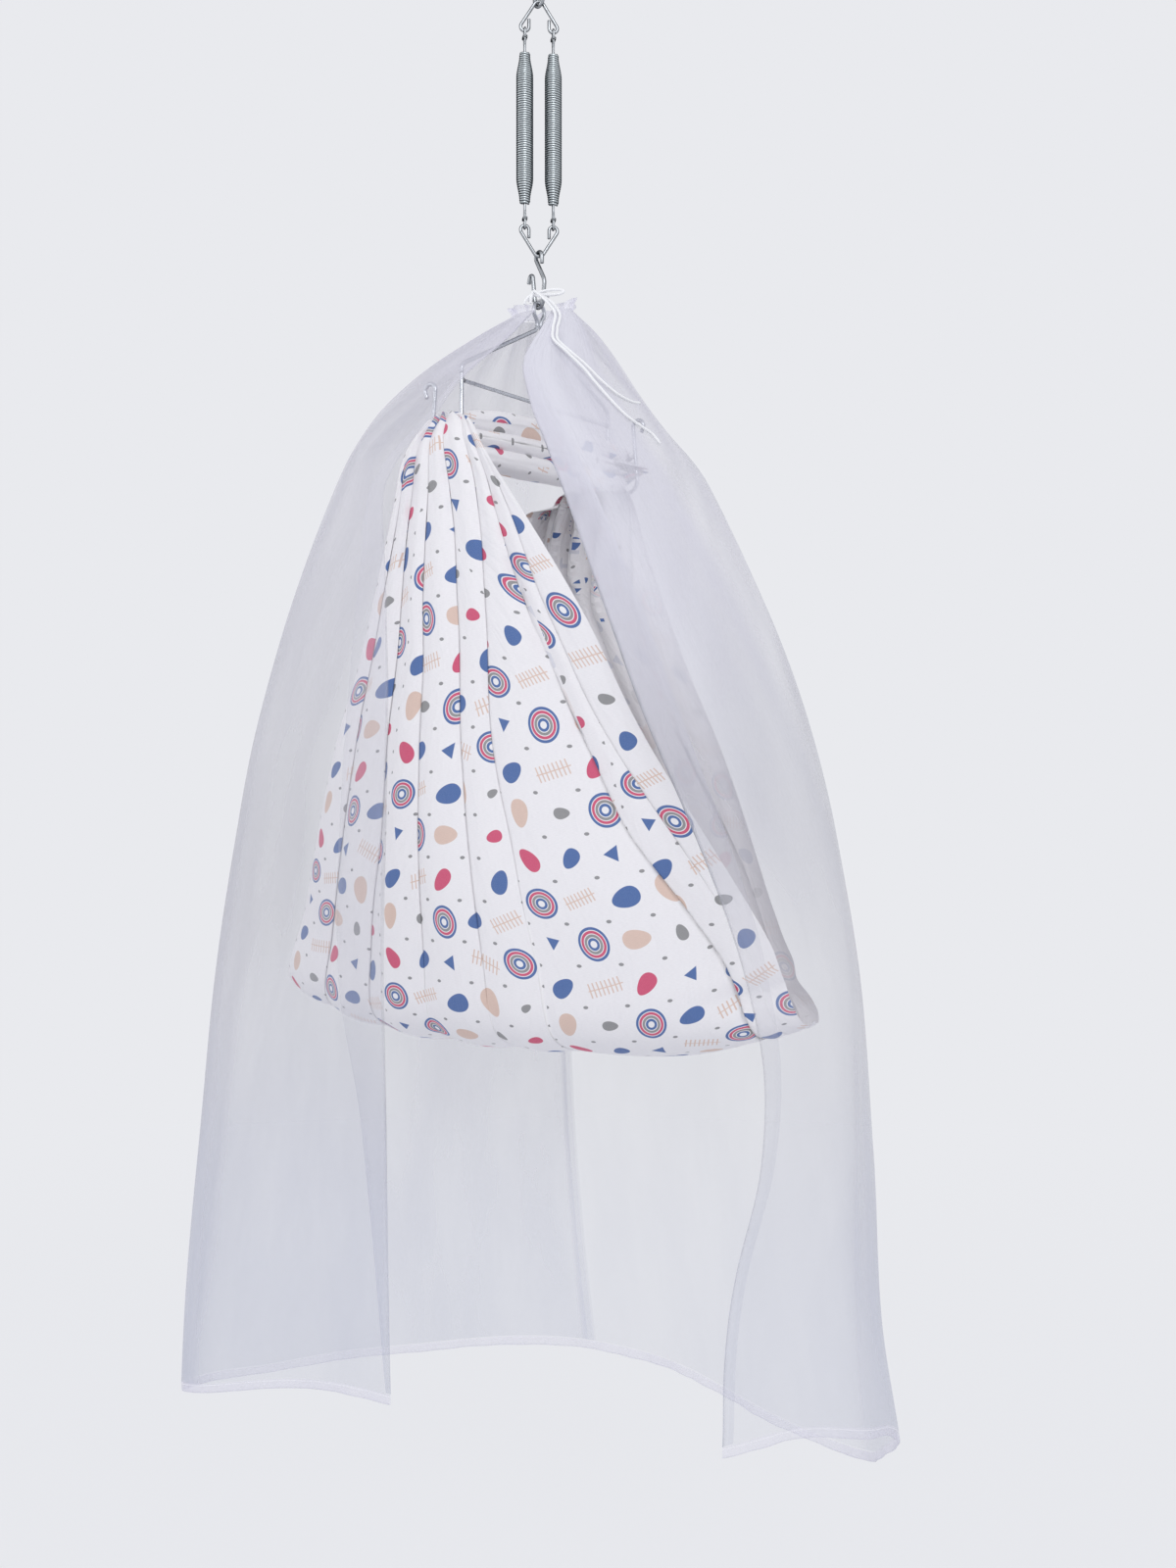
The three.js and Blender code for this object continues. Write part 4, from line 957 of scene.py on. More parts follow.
def sling_outer(share):
    """How far out and how high the cloth lies at a share of the way down."""
    edge = HALF_SPAN + DOME_REACH
    outward = (HALF_SPAN - FRAME_GAUGE, HALF_SPAN + FRAME_GAUGE, *(part * edge for part in OUTER_REACH))
    fall = BUNCH_TOP + SLING_DEPTH
    height = (BUNCH_TOP, BUNCH_TOP, *(BUNCH_TOP - part * fall for part in OUTER_DROP))
    return value_at(OUTER_ROWS, outward, share), value_at(OUTER_ROWS, height, share)


def sling_place(across, share, shift):
    """A point of the front panel's outer face: across from -1 at one selvedge to 1 at the other."""
    outward, height = sling_outer(share)
    hooked = BUNCH_WIDTH / 2
    half = value_at(FAN_ROWS, (hooked, hooked, *(part * HALF_LENGTH for part in FAN_WIDTHS)), share)
    middles = (BUNCH_CENTRE, BUNCH_CENTRE, *(part * MIDDLE_MOVE + shift for part in FAN_MIDDLES))
    middle = value_at(FAN_ROWS, middles, share)
    narrowing = END_PINCH * across**2 * min(max((share - 0.1) / 0.75, 0), 1)
    rise = END_RISE * abs(across) ** 3 * smoothstep(share, 0.35, 1)
    rise -= EDGE_ROUNDING * across**4 * fade(share, 0.06, 0.3)
    return Vector((middle + across * half, -outward * (1 - narrowing), height + rise + RING_TOP_Z))


# The folds, from the head end's selvedge to the foot end's. At each share of the way down stands how far across
# the fold's edge lies, and how much of the spare cloth it hides.
FOLD_SHARES = (0, 0.08, 0.17, 0.26, 0.38, 0.5, 0.63, 0.75, 0.88, 1)
FOLDS = (
    ((0.05, 0.05, 0.055, 0.06, 0.09, 0.12, 0.13, 0.13, 0.13, 0.13),
     (0, 0, 0.2, 0.3, 0.3, 0.3, 0.25, 0.2, 0.1, 0)),
    ((0.14, 0.14, 0.14, 0.18, 0.24, 0.27, 0.28, 0.265, 0.26, 0.26),
     (1, 1, 1, 1, 0.8, 0.6, 0.45, 0.3, 0.1, 0)),
    ((0.3, 0.3, 0.31, 0.33, 0.38, 0.4, 0.4, 0.4, 0.4, 0.4),
     (0.5, 0.4, 0.4, 0.4, 0.3, 0.3, 0.2, 0.1, 0, 0)),
    ((0.44, 0.46, 0.5, 0.505, 0.52, 0.53, 0.53, 0.53, 0.53, 0.53),
     (1, 1, 0.9, 0.7, 0.5, 0.4, 0.3, 0.1, 0, 0)),
    ((0.7, 0.72, 0.68, 0.64, 0.62, 0.62, 0.63, 0.63, 0.63, 0.63),
     (1, 1, 0.8, 0.6, 0.4, 0.25, 0.1, 0, 0, 0)),
    ((0.84, 0.84, 0.8, 0.79, 0.83, 0.86, 0.87, 0.905, 0.93, 0.93),
     (0.3, 0.3, 0.5, 0.9, 1, 1, 1, 0.9, 0.7, 0.25)),
    ((0.93, 0.93, 0.9, 0.87, 0.89, 0.92, 0.945, 0.96, 0.965, 0.965),
     (0, 0, 0.1, 0.3, 0.5, 0.45, 0.2, 0, 0, 0)),
)
FLAT_STEPS = (0, 0.02, 0.06, 0.13, 0.24, 0.38, 0.54, 0.7, 0.83, 0.92, 0.97, 1)
TUCK_STEPS = 3
LINE_STEPS = 60
ROW_STEP = 0.01  # how far above and below a row the cloth's slope is taken from, as a share of the way down
TUCK_LEAN = (86, 6)  # degrees off the cloth: tucks stand on edge in the hook and lie flat below
CLOTH_LAYER = 0.00045  # between two layers of a tuck
CLOTH_SWELL = 0.0075  # the most that a flat bulges between two folds
LOOSE_CLOTH = 0.004  # unevenness of the pocket
CREASE_AT = 0.905  # where the foot end's corner creases


def cloth_columns():
    """Each column of the cloth's grid as (kind, fold, share): a flat's points, then the tuck behind its far edge."""
    columns = []
    for flat in range(len(FOLDS) + 1):
        columns += [("flat", flat, t) for t in FLAT_STEPS]
        if flat < len(FOLDS):
            columns += [("under", flat, step / TUCK_STEPS) for step in range(1, TUCK_STEPS + 1)]
            columns += [("back", flat, 1 - step / TUCK_STEPS) for step in range(TUCK_STEPS)]
    return columns


class SlingRow:
    """One row of a panel: its line across, its length, its folds' edges and how deep each is tucked."""

    def __init__(self, share, shift, cloth_width, turned):
        self.share, self.turned = share, turned
        rows = (min(max(share + off, 0), 1) for off in (0, ROW_STEP, -ROW_STEP))
        self.line, self.below, self.above = (
            [sling_place(2 * step / LINE_STEPS - 1, row, shift) for step in range(LINE_STEPS + 1)] for row in rows
        )
        self.lengths = running_lengths(self.line)
        self.width = self.lengths[-1]
        spare = max(cloth_width - self.width, 0.0)
        self.edges = [0.0, *(value_at(FOLD_SHARES, places, share) * self.width for places, _ in FOLDS), self.width]
        weights = [max(value_at(FOLD_SHARES, shares, share), 0.0) for _, shares in FOLDS]
        self.hidden = [spare * weight / max(sum(weights), 0.9) for weight in weights]
        deepest = lerp(0.045, 0.06, smoothstep(share, 0.02, 0.2))
        self.tucks = [min(cloth / 2, deepest) for cloth in self.hidden]
        self.lean = lerp(*map(math.radians, TUCK_LEAN), smoothstep(share, 0.015, 0.3))
        self.layers = [CLOTH_LAYER * smoothstep(tuck, 0.0, 0.006) + 0.00002 for tuck in self.tucks]
        relief = lerp(0.13, 0.09, smoothstep(share, 0.05, 0.6))
        self.rolls = [relief * tuck for tuck in self.tucks]

    def point(self, run, depth):
        """The place at a run across, pushed inwards by a depth along the cloth's own normal."""
        if self.turned:
            run = self.width - run
        run = min(max(run, 0.0), self.width)
        low, high = 0, len(self.lengths) - 1
        while high - low > 1:
            middle = (low + high) // 2
            low, high = (middle, high) if self.lengths[middle] <= run else (low, middle)
        within = (run - self.lengths[low]) / max(self.lengths[high] - self.lengths[low], 1e-12)
        here = self.line[low].lerp(self.line[high], within)
        across = (self.line[high] - self.line[low]).normalized()
        down = self.below[low].lerp(self.below[high], within) - self.above[low].lerp(self.above[high], within)
        place = here + across.cross(down).normalized() * (depth + self.end_crease(run))
        return Vector((-place.x, -place.y, place.z)) if self.turned else place

    def end_crease(self, run):
        """The foot end's corner is pushed in along one crease and bags out below it."""
        share = run / self.width if not self.turned else 1 - run / self.width
        corner = smoothstep(share, 0.84, 0.95)
        pushed = 0.007 * math.exp(-(((self.share - CREASE_AT - 0.05 * (share - 0.9)) / 0.018) ** 2))
        bagged = 0.008 * smoothstep(self.share, 0.92, 0.97) * fade(self.share, 0.985, 1.0)
        return corner * (pushed - bagged)

    def place(self, kind, fold, t):
        """(point, distance across the flat cloth) of a column of the grid."""
        start, end = self.edges[fold], self.edges[fold + 1]
        span = end - start
        cloth = start + sum(self.hidden[:fold])
        if kind == "flat":
            depth = 0.0
            if fold > 0:
                low = self.rolls[fold - 1] + 2 * self.layers[fold - 1]
                depth += low * fade(t * span, 0.0, min(9 * low + 0.001, 0.9 * span))
            if fold < len(FOLDS):
                roll = self.rolls[fold]
                depth += roll * smoothstep(t * span, span - min(4 * roll + 0.0005, 0.45 * span), span) ** 2
            swell = math.sin(math.pi * t) * min(0.055 * span, CLOTH_SWELL) * smoothstep(self.share, 0.03, 0.2)
            return self.point(start + span * t, depth - swell), cloth + span * t
        tuck, layer = self.tucks[fold], self.layers[fold]
        deep = self.rolls[fold] + t * tuck * math.sin(self.lean)
        run = end - t * tuck * math.cos(self.lean)
        if kind == "under":
            return self.point(run, deep + layer), cloth + span + t * self.hidden[fold] / 2
        return self.point(run, deep + 2 * layer), cloth + span + (2 - t) * self.hidden[fold] / 2


def sling_shares():
    """The rows from the hook down to the bottom, closer together near both."""
    shares = [1.0]
    for low, high, count in ((0.87, 1.0, 26), (0.13, 0.87, 48), (0.0, 0.13, 24)):
        shares = [low + (high - low) * step / count for step in range(count)] + shares
    return shares


def crease(place, depth):
    """A little unevenness, the same every time."""
    return noise.noise(Vector((place.x * 9 + 3.1, place.y * 9, place.z * 3.2))) * depth


def sling_panel(settings):
    """The cloth from the front hook, under the baby and up to the back hook, as one grid with its UV in metres."""
    shares = sling_shares()
    columns = cloth_columns()
    run, heights = 0.0, {shares[-1]: 0.0}
    for share, below in zip(reversed(shares[:-1]), reversed(shares[1:])):
        first, second = sling_outer(share), sling_outer(below)
        run += math.hypot(first[0] - second[0], first[1] - second[1])
        heights[share] = run
    width = settings.cloth_width
    rows = [(SlingRow(share, CENTRE_SHIFT, width, False), heights[share]) for share in shares]
    rows += [(SlingRow(share, -CENTRE_SHIFT, width, True), -heights[share]) for share in reversed(shares[:-1])]

    def place(column, row):
        line, height = rows[row]
        point, run = line.place(*columns[column])
        loose = LOOSE_CLOTH * smoothstep(line.share, 0.1, 0.5) * fade(line.share, 0.96, 1.0)
        return point + Vector((0, crease(point, loose), crease(point.zxy, loose * 0.6))), (run, height), 1.0

    bm = cloth_grid(len(columns) - 1, len(rows) - 1, place)
    bmesh.ops.reverse_faces(bm, faces=bm.faces[:])
    return bm


def squared_off(value):
    """Makes a sine or cosine fuller, so that a ring of them bulges at its corners."""
    return math.copysign(abs(value) ** 0.85, value)


def strap_roll(rise, sag, swelling, half_width, half_height, phase):
    """One roll of bunched cloth between the hooks: a lofted sausage with a lapped edge and a few creases. It rises
    above the bunches' middle, sags and swells halfway along."""
    stations, around = 56, 36
    half = HALF_SPAN - FRAME_GAUGE - 0.0006
    middle = BUNCH_BOTTOM + BUNCH_HEIGHT / 2 + rise + RING_TOP_Z

    def place(column, row):
        turn, along = 2 * math.pi * column / around, 2 * row / stations - 1
        full = 1 - abs(along) ** 2.4
        lap = 1 + 0.07 * (smoothstep(turn, 3.9, 4.25) - column / around)
        wide = squared_off(math.cos(turn)) * half_width * lerp(0.84, 1.14, full) * lap
        high = squared_off(math.sin(turn)) * half_height * lerp(1.0, swelling, full)
        ripple = noise.noise(Vector((turn * 1.2 + phase, along * 5, phase))) * 0.0012
        lowered = 0.007 * (1 - along**2) + sag * full
        point = (wide * (1 + ripple * 30) - along * BUNCH_CENTRE, along * half, middle - lowered + high + ripple)
        return point, (turn * half_width + phase * 0.3, along * half + phase * 0.2), 1.0

    bm = cloth_grid(around, stations, place)
    bmesh.ops.remove_doubles(bm, verts=bm.verts[:], dist=1e-6)
    close_ends(bm)
    bmesh.ops.recalc_face_normals(bm, faces=bm.faces[:])
    return bm


# ---------------------------------------------------------------- the net's shape

NET_NECK, NET_DROP = 0.016, 1.37  # the neck's and the hem's depth below the ring's top

# By share of the way down: how far the net reaches on each side, of its full reach, and how square it is.
NET_REACH = {"left": 0.603, "right": 0.47, "front": 0.216, "back": 0.214}
NET_SHARES = (0, 0.025, 0.075, 0.11, 0.155, 0.265, 0.375, 0.475, 0.61, 0.765, 0.9, 1)
NET_LEVELS = {
    "left": (0.06, 0.13, 0.24, 0.33, 0.39, 0.53, 0.64, 0.71, 0.79, 0.87, 0.95, 1),
    "right": (0.105, 0.165, 0.25, 0.31, 0.4, 0.56, 0.7, 0.8, 0.89, 0.93, 0.95, 1),
    "front": (0.12, 0.36, 0.808, 0.97, 1.06, 1.06, 1.03, 1, 0.98, 0.97, 0.98, 1),
    "back": (0.12, 0.36, 0.816, 0.98, 1.07, 1.07, 1.03, 1, 0.98, 0.97, 0.98, 1),
}
NET_SQUARE = (2, 2, 2, 2.3, 2.6, 3, 3.2, 3.3, 3.3, 3, 2.6, 2.3)

# The hem's rise by share of a turn, and where each panel begins and ends, in degrees about Z.
HEM_TURNS = (0, 0.125, 0.265, 0.375, 0.5, 0.625, 0.73, 0.83, 0.92, 1)
HEM_RISES = (0.03, -0.044, -0.014, -0.065, -0.084, -0.036, 0.018, 0.012, 0.04, 0.03)
BACK_SEAM = 95
SLITS = {
    "left": (
        (0, 0.05, 0.075, 0.1, 0.13, 0.155, 0.18, 0.2, 0.25, 0.3, 0.375, 0.61, 0.765, 1),
        (283, 288, 284, 276, 270, 265, 262, 262.6, 265, 266.2, 267, 267.5, 267.3, 266),
    ),
    "right": (
        (0, 0.02, 0.05, 0.075, 0.1, 0.155, 0.2, 0.3, 0.375, 0.43, 0.475, 0.54, 0.61, 0.69, 0.765, 0.85, 0.93, 1),
        (-46, -50, -52, -51, -48.5, -47.2, -46.5, -46.3, -45.4, -43, -40, -35.5, -31.5, -28.5, -31, -38, -41.5, -43),
    ),
}
# How far each flap's free edge is turned back inside, in metres, by share of the way down.
TURN_BACK = {
    "left": ((0, 0.1, 0.2, 0.4, 0.62, 0.75, 1), (0.004, 0.014, 0.036, 0.075, 0.085, 0.05, 0.01)),
    "right": ((0, 0.1, 0.3, 0.5, 0.7, 0.85, 1), (0.006, 0.03, 0.045, 0.036, 0.022, 0.015, 0.012)),
}


def net_place(turn, share, inset=0.0):
    """A point of the net at a turn about Z in degrees and a share of the way down, inset from its outer face."""
    level = {name: value_at(NET_SHARES, values, share) for name, values in NET_LEVELS.items()}
    cosine, sine = math.cos(math.radians(turn)), math.sin(math.radians(turn))
    across = level["left"] * NET_REACH["left"] if cosine < 0 else level["right"] * NET_REACH["right"]
    deep = level["front"] * NET_REACH["front"] if sine < 0 else level["back"] * NET_REACH["back"]
    power = 2 / value_at(NET_SHARES, NET_SQUARE, share)
    x, y = (reach * math.copysign(abs(part) ** power, part) for reach, part in ((across, cosine), (deep, sine)))
    rise = value_at(HEM_TURNS, HEM_RISES, (turn % 360) / 360) * NET_DROP * share**3
    place = Vector((x, y, rise - lerp(NET_NECK, NET_DROP, share) + RING_TOP_Z))
    away = Vector((cosine / across, sine / deep, 0)).normalized()
    angle = math.radians(turn)
    # Long folds below, fine gathers and puffs at the neck that fade towards the front opening, and unevenness.
    fold = 0.009 * smoothstep(share, 0.3, 1) * math.cos(angle * 8)
    clear = 1 - 0.75 * math.exp(-((((turn + 225) % 360 - 180) / 62) ** 2))
    pleats = math.cos(angle * 21 + 2 * math.sin(angle * 3)) + 0.4 * math.cos(angle * 37 + 1)
    gathers = 0.0011 * clear * smoothstep(share, 0.0, 0.02) * fade(share, 0.02, 0.12) * pleats
    puffs = 0.009 * clear * math.sin(math.pi * min(share / 0.13, 1)) * math.sin(angle * 6 + 0.6 + 5 * share)
    soft = noise.noise(Vector((math.cos(angle) * 2.3, math.sin(angle) * 2.3, share * 2.2))) * 0.011
    return place + away * (fold + gathers + puffs + soft * smoothstep(share, 0.17, 0.45) - inset)


def net_line(side, share, columns, inset=0.0):
    """The row's points from the back seam to the free edge, evenly spaced, and the row's length."""
    edge = value_at(*SLITS[side], share)
    dense = [net_place(lerp(BACK_SEAM, edge, step / 260), share, inset) for step in range(261)]
    lengths = running_lengths(dense)
    return evenly(dense, lengths, columns), lengths[-1]


NET_COLUMNS, STRIP_COLUMNS, NET_ROWS = 132, 8, 104  # a panel's grid; the strip is its turned-back edge
FLAP_GAP = 0.0035  # between a flap and its turned-back edge
NET_LENGTH = 1.4  # of the voile, from neck to hem


def net_density(side, across, share):
    """How closely the voile lies, by the share of the way from seam to free edge and the share of the way down."""
    folded = math.sin(across * 34 + 3 * math.sin(share * 4)) + 0.7 * math.sin(across * 61 + 5 * share + 1)
    high = fade(share, 0.3, 0.7)
    if side == "right":
        flap = smoothstep(across, 0.62, 0.9) * fade(share, 0.28, 0.62)
        return (0.62 + 0.2 * smoothstep(share, 0.6, 0.9) + 2.7 * flap) * (1 + 0.2 * folded * high)
    by_the_arm = smoothstep(across, 0.6, 0.85) * smoothstep(share, 0.03, 0.12) * fade(share, 0.14, 0.34)
    low_at_back = fade(across, 0.25, 0.55) * smoothstep(share, 0.3, 0.5)
    over_sling = smoothstep(across, 0.64, 0.76) * smoothstep(share, 0.14, 0.3) * fade(share, 0.63, 0.78)
    return (1 - 0.62 * by_the_arm) * (1 + 0.6 * low_at_back) * (1 - 0.5 * over_sling) * (1 + 0.12 * folded * high)


def net_panel(side):
    """One panel of the net: from the back seam round to its free edge, which is turned back inside."""
    seam, seam_layers, fold, fold_layers = 0.007, 2.4, 0.006, 1.3
    widest = max(net_line(side, share, 40)[1] for share in (0.5, 0.75, 0.9, 1.0))
    rows = []
    for row in range(NET_ROWS + 1):
        share = (row / NET_ROWS) ** 1.25
        points, length = net_line(side, share, NET_COLUMNS)
        inner, _ = net_line(side, share, NET_COLUMNS, FLAP_GAP)
        rows.append((share, points, inner, length, min(value_at(*TURN_BACK[side], share), length * 0.3)))

    def place(column, row):
        share, points, inner, length, back = rows[row]
        packed = min((widest / length) ** 0.5, 2.6)
        if column <= NET_COLUMNS:
            point, run = points[column], length * column / NET_COLUMNS
            packed *= seam_layers if run < seam else 1
        else:
            gone = back * (column - NET_COLUMNS) / STRIP_COLUMNS
            along = (length - gone) / length * NET_COLUMNS
            low = min(int(along), NET_COLUMNS - 1)
            point, run = inner[low].lerp(inner[low + 1], along - low), length + gone
            packed *= fold_layers if back - gone < fold else 1
        across = run / length
        return point, (across * widest, share * NET_LENGTH), packed * net_density(side, across, share)

    return cloth_grid(NET_COLUMNS + STRIP_COLUMNS, NET_ROWS, place, gathered=True)


# The hem's section: how far down each point lies, of the hem's height, and how far in, of its thickness. Then the
# neck ruffle's: how far up and how far in.
HEM_PROFILE = ((0.0, 0.0), (0.35, -0.12), (0.8, -0.2), (0.96, 0.1), (1.0, 0.5), (0.94, 0.95), (0.75, 1.15),
               (0.3, 1.08), (0.0, 1.0))
RUFFLE_PROFILE = ((0.0, 0.0), (0.3, 0.25), (0.6, 0.1), (0.85, -0.2), (1.0, 0.3), (0.9, 0.9), (0.55, 1.1),
                  (0.0, 1.0))


def hem_band(side, height):
    """The folded hem below a panel: a flat loop of voile with a turned edge, thicker at its fold."""
    columns, thickness, gap = 150, 0.0022, 0.0004
    points, length = net_line(side, 1.0, columns)
    inner, _ = net_line(side, 1.0, columns, thickness)

    def place(column, row):
        down, deep = HEM_PROFILE[row]
        point = points[column].lerp(inner[column], deep)
        wave = math.sin(column * 0.9) * 0.0009 + math.sin(column * 0.31 + 1.2) * 0.0012
        outward = Vector((point.x, point.y, 0)).normalized()
        hung = point - Vector((0, 0, gap + down * height)) + outward * wave * down
        inside = 0.02 if deep > 0.6 else 0.0
        return hung, (length * column / columns, down * height + inside), 1.1 if down < 0.9 else 1.6

    return cloth_grid(columns, len(HEM_PROFILE) - 1, place, gathered=True)


def casing_band():
    """The ruffled casing round the neck, from one side of the net's slit to the other: a double band that the
    drawcord pulls into small pleats."""
    columns, ruffles, height, thickness = 230, 19, 0.0115, 0.003
    first, last = -48.0, 283.0

    def place(column, row):
        share = column / columns
        up, deep = RUFFLE_PROFILE[row]
        turn = lerp(first, last, share)
        angle = math.radians(turn)
        low = 0.35 + 0.65 * smoothstep(min(share, 1 - share), 0.0, 0.12)
        fine = (0.0008 + 0.0016 * up) * math.sin(angle * ruffles + 1.3 * math.sin(angle * 5))
        point = net_place(turn, 0.0, deep * thickness - 0.0024 * math.cos(angle * 9))
        outward = Vector((point.x, point.y, 0)).normalized()
        lift = height * up * low * (1 + 0.25 * math.sin(angle * 4 + 0.8))
        point += outward * (fine + 0.005 * up * up) + Vector((0, 0, lift))
        return point, (share * 0.9, up * 0.01), 1.3 + 0.3 * math.sin(angle * ruffles)

    return cloth_grid(columns, len(RUFFLE_PROFILE) - 1, place, gathered=True)


# ---------------------------------------------------------------- the drawcord

# Its routes, in mm from the ring's top.
LEFT_LEAD = ((1.7, -18.8, 6), (-2.2, -21.6, 2.2), (-4.4, -24, -2.6), (-4.4, -24.2, -6.4))
RIGHT_LEAD = ((5.1, -20.2, 5), (4.9, -23.6, 1.2), (4.8, -24.2, -2.6), (4.8, -24.4, -6.4))
UPPER_TAIL = ((9.1, -19.3, 5.2), (15.6, -23.2, 1.6), (27, -27, -3), (41, -29, -13), (53, -30, -28),
              (70, -58.5, -57.5), (79.5, -70.5, -74), (92.5, -67.5, -87.5), (108, -55.5, -104), (124, -40.5, -125),
              (134.5, -19.5, -139), (137, 7.5, -143), (134, 28, -140))
LOWER_TAIL = ((8.5, -21.5, 9.2), (15, -28, 5.5), (27, -33, -3), (40, -35, -15), (49.5, -35, -27.5),
              (66.5, -62.5, -57), (77, -76, -74), (92, -72.5, -89.5), (111.5, -61, -112), (127, -54, -133),
              (141.5, -41.5, -154), (153, -28.5, -169.5), (159.5, -8, -178.5), (165, 8.5, -186), (172, 15, -197))
TIE_HALF_LENGTH, TIE_HALF_WIDTH, TIE_Z = 0.01876, 0.009, RING_TOP_Z + 0.00765
KNOT = Vector((0.00563, -0.0171, TIE_Z))


def ring_points(place, steps, shape):
    """A closed line: shape(turn) gives its point at each turn, in the place's own frame."""
    return [place @ Vector(shape(2 * math.pi * step / steps)) for step in range(steps)]


def at_knot(yaw=0.0, pitch=0.0):
    """The knot's place, turned from the hook's direction and tipped, in degrees."""
    turned = Matrix.Rotation(math.radians(HOOK_YAW + yaw), 4, "Z") @ Matrix.Rotation(math.radians(pitch), 4, "Y")
    return Matrix.Translation(KNOT) @ turned


# ---------------------------------------------------------------- operators


CAMERA_TURN, CAMERA_DISTANCE, CAMERA_DROP = 36, 2.2, 0.638  # from the front, from the axis, below the ring's top
CAMERA_LENS, CAMERA_SHIFT = 39.6, (0.03125, 0.0125)


class CRADLE_OT_camera(bpy.types.Operator):
    """Puts the camera where the photograph was taken from"""

    bl_idname = "cradle.camera"
    bl_label = "Camera"

    def execute(self, context):
        turn = math.radians(CAMERA_TURN)
        back = Vector((math.sin(turn), -math.cos(turn), 0))
        data = bpy.data.cameras.new("camera")
        data.lens = CAMERA_LENS
        data.shift_x, data.shift_y = CAMERA_SHIFT
        camera = bpy.data.objects.new("camera", data)
        camera.location = back * CAMERA_DISTANCE + Vector((0, 0, RING_TOP_Z - CAMERA_DROP))
        camera.rotation_mode = "QUATERNION"
        camera.rotation_quaternion = (-back).to_track_quat("-Z", "Y")
        context.scene.collection.objects.link(camera)
        context.scene.camera = camera
        return {"FINISHED"}


class CRADLE_OT_drawcord(bpy.types.Operator):
    """Makes the drawcord: the tie round the hook, the knot, the bow, two leads and two free tails"""

    bl_idname = "cradle.drawcord"
    bl_label = "Drawcord"

    def execute(self, context):
        gauge = context.scene.cradle_cord.diameter
        for end, route in (("upper", UPPER_TAIL), ("lower", LOWER_TAIL)):
            points = along_route(route, 0.0018)
            tail = self.cord(f"drawcord_{end}_run", cord_mesh(points, gauge), f"drawcord_{end}_tail", CORD_CORNER)
        for side, route in (("left", LEFT_LEAD), ("right", RIGHT_LEAD)):
            run = cord_mesh(along_route(route, 0.001), gauge)
            self.cord(f"drawcord_{side}_run", run, f"drawcord_{side}_lead", CORD_CORNER)
        self.tie(gauge)
        self.bow(gauge)
        self.knot(gauge)
        return {"FINISHED"}

    def cord(self, name, bm, node, sharp=None):
        return add_piece(name, bm, "cord", "cradle", node, sharp=sharp)

    def tie(self, gauge):
        """The loop that ties the neck shut round the hook."""
        wave = 0.0006

        def shape(turn):
            return TIE_HALF_LENGTH * math.cos(turn), TIE_HALF_WIDTH * math.sin(turn), wave * math.sin(turn * 3)

        points = ring_points(at(z=TIE_Z, yaw=HOOK_YAW), 72, shape)
        self.cord("drawcord_tie_loop", cord_mesh(points, gauge, closed=True), "drawcord_tie")

    def bow(self, gauge):
        """One flat loop that leaves the knot to the right, narrower at its far end."""
        length, width, middle = 0.038 - gauge, 0.012 - gauge, 0.0233

        def shape(turn):
            high = width / 2 * math.sin(turn) * (0.75 + 0.25 * math.cos(turn))
            return middle + length / 2 * math.cos(turn), 0.0007 * math.sin(turn * 2), high

        points = ring_points(at_knot(yaw=30, pitch=4), 80, shape)
        self.cord("drawcord_bow_loop", cord_mesh(points, gauge, closed=True), "drawcord_bow")

    def knot(self, gauge):
        """A tight wrap of cord: three turns side by side, drawn thin."""
        steps, turns, half, radius = 150, 3.1, 0.0029, 0.0026
        points = []
        for step in range(steps):
            share = step / (steps - 1)
            turn = share * 2 * math.pi * turns
            swell = radius + 0.0006 * math.sin(share * math.pi)
            points.append(Vector((lerp(-half, half, share), swell * math.cos(turn), swell * math.sin(turn))))
        points = [at_knot() @ point for point in points]
        self.cord("drawcord_knot_wraps", cord_mesh(points, gauge * 0.62, sides=10), "drawcord_knot")


class CRADLE_OT_hooks(bpy.types.Operator):
    """Bends the two S-hooks"""

    bl_idname = "cradle.hooks"
    bl_label = "S-hooks"

    def execute(self, context):
        gauge = context.scene.cradle_wires.hook_wire
        for node, height in (("top_hook", TOP_HOOK_Z), ("lower_hook", LOWER_HOOK_Z)):
            made = hook_mesh(gauge, at(z=height, yaw=HOOK_YAW))
            add_piece(f"{node}_wire", made, "zinc", f"{node}_body", node, sharp=WIRE_CORNER)
        return {"FINISHED"}


class CRADLE_OT_links(bpy.types.Operator):
    """Bends the two V-links"""

    bl_idname = "cradle.links"
    bl_label = "V-links"

    def execute(self, context):
        gauge = context.scene.cradle_wires.link_wire
        for node, height in (("upper_link", UPPER_APEX_Z), ("lower_link", LOWER_APEX_Z)):
            made = link_mesh(gauge, at(z=height, yaw=LINK_YAW, flip=node == "upper_link"))
            add_piece(f"{node}_wire", made, "zinc", f"{node}_body", node, sharp=WIRE_CORNER)
        return {"FINISHED"}


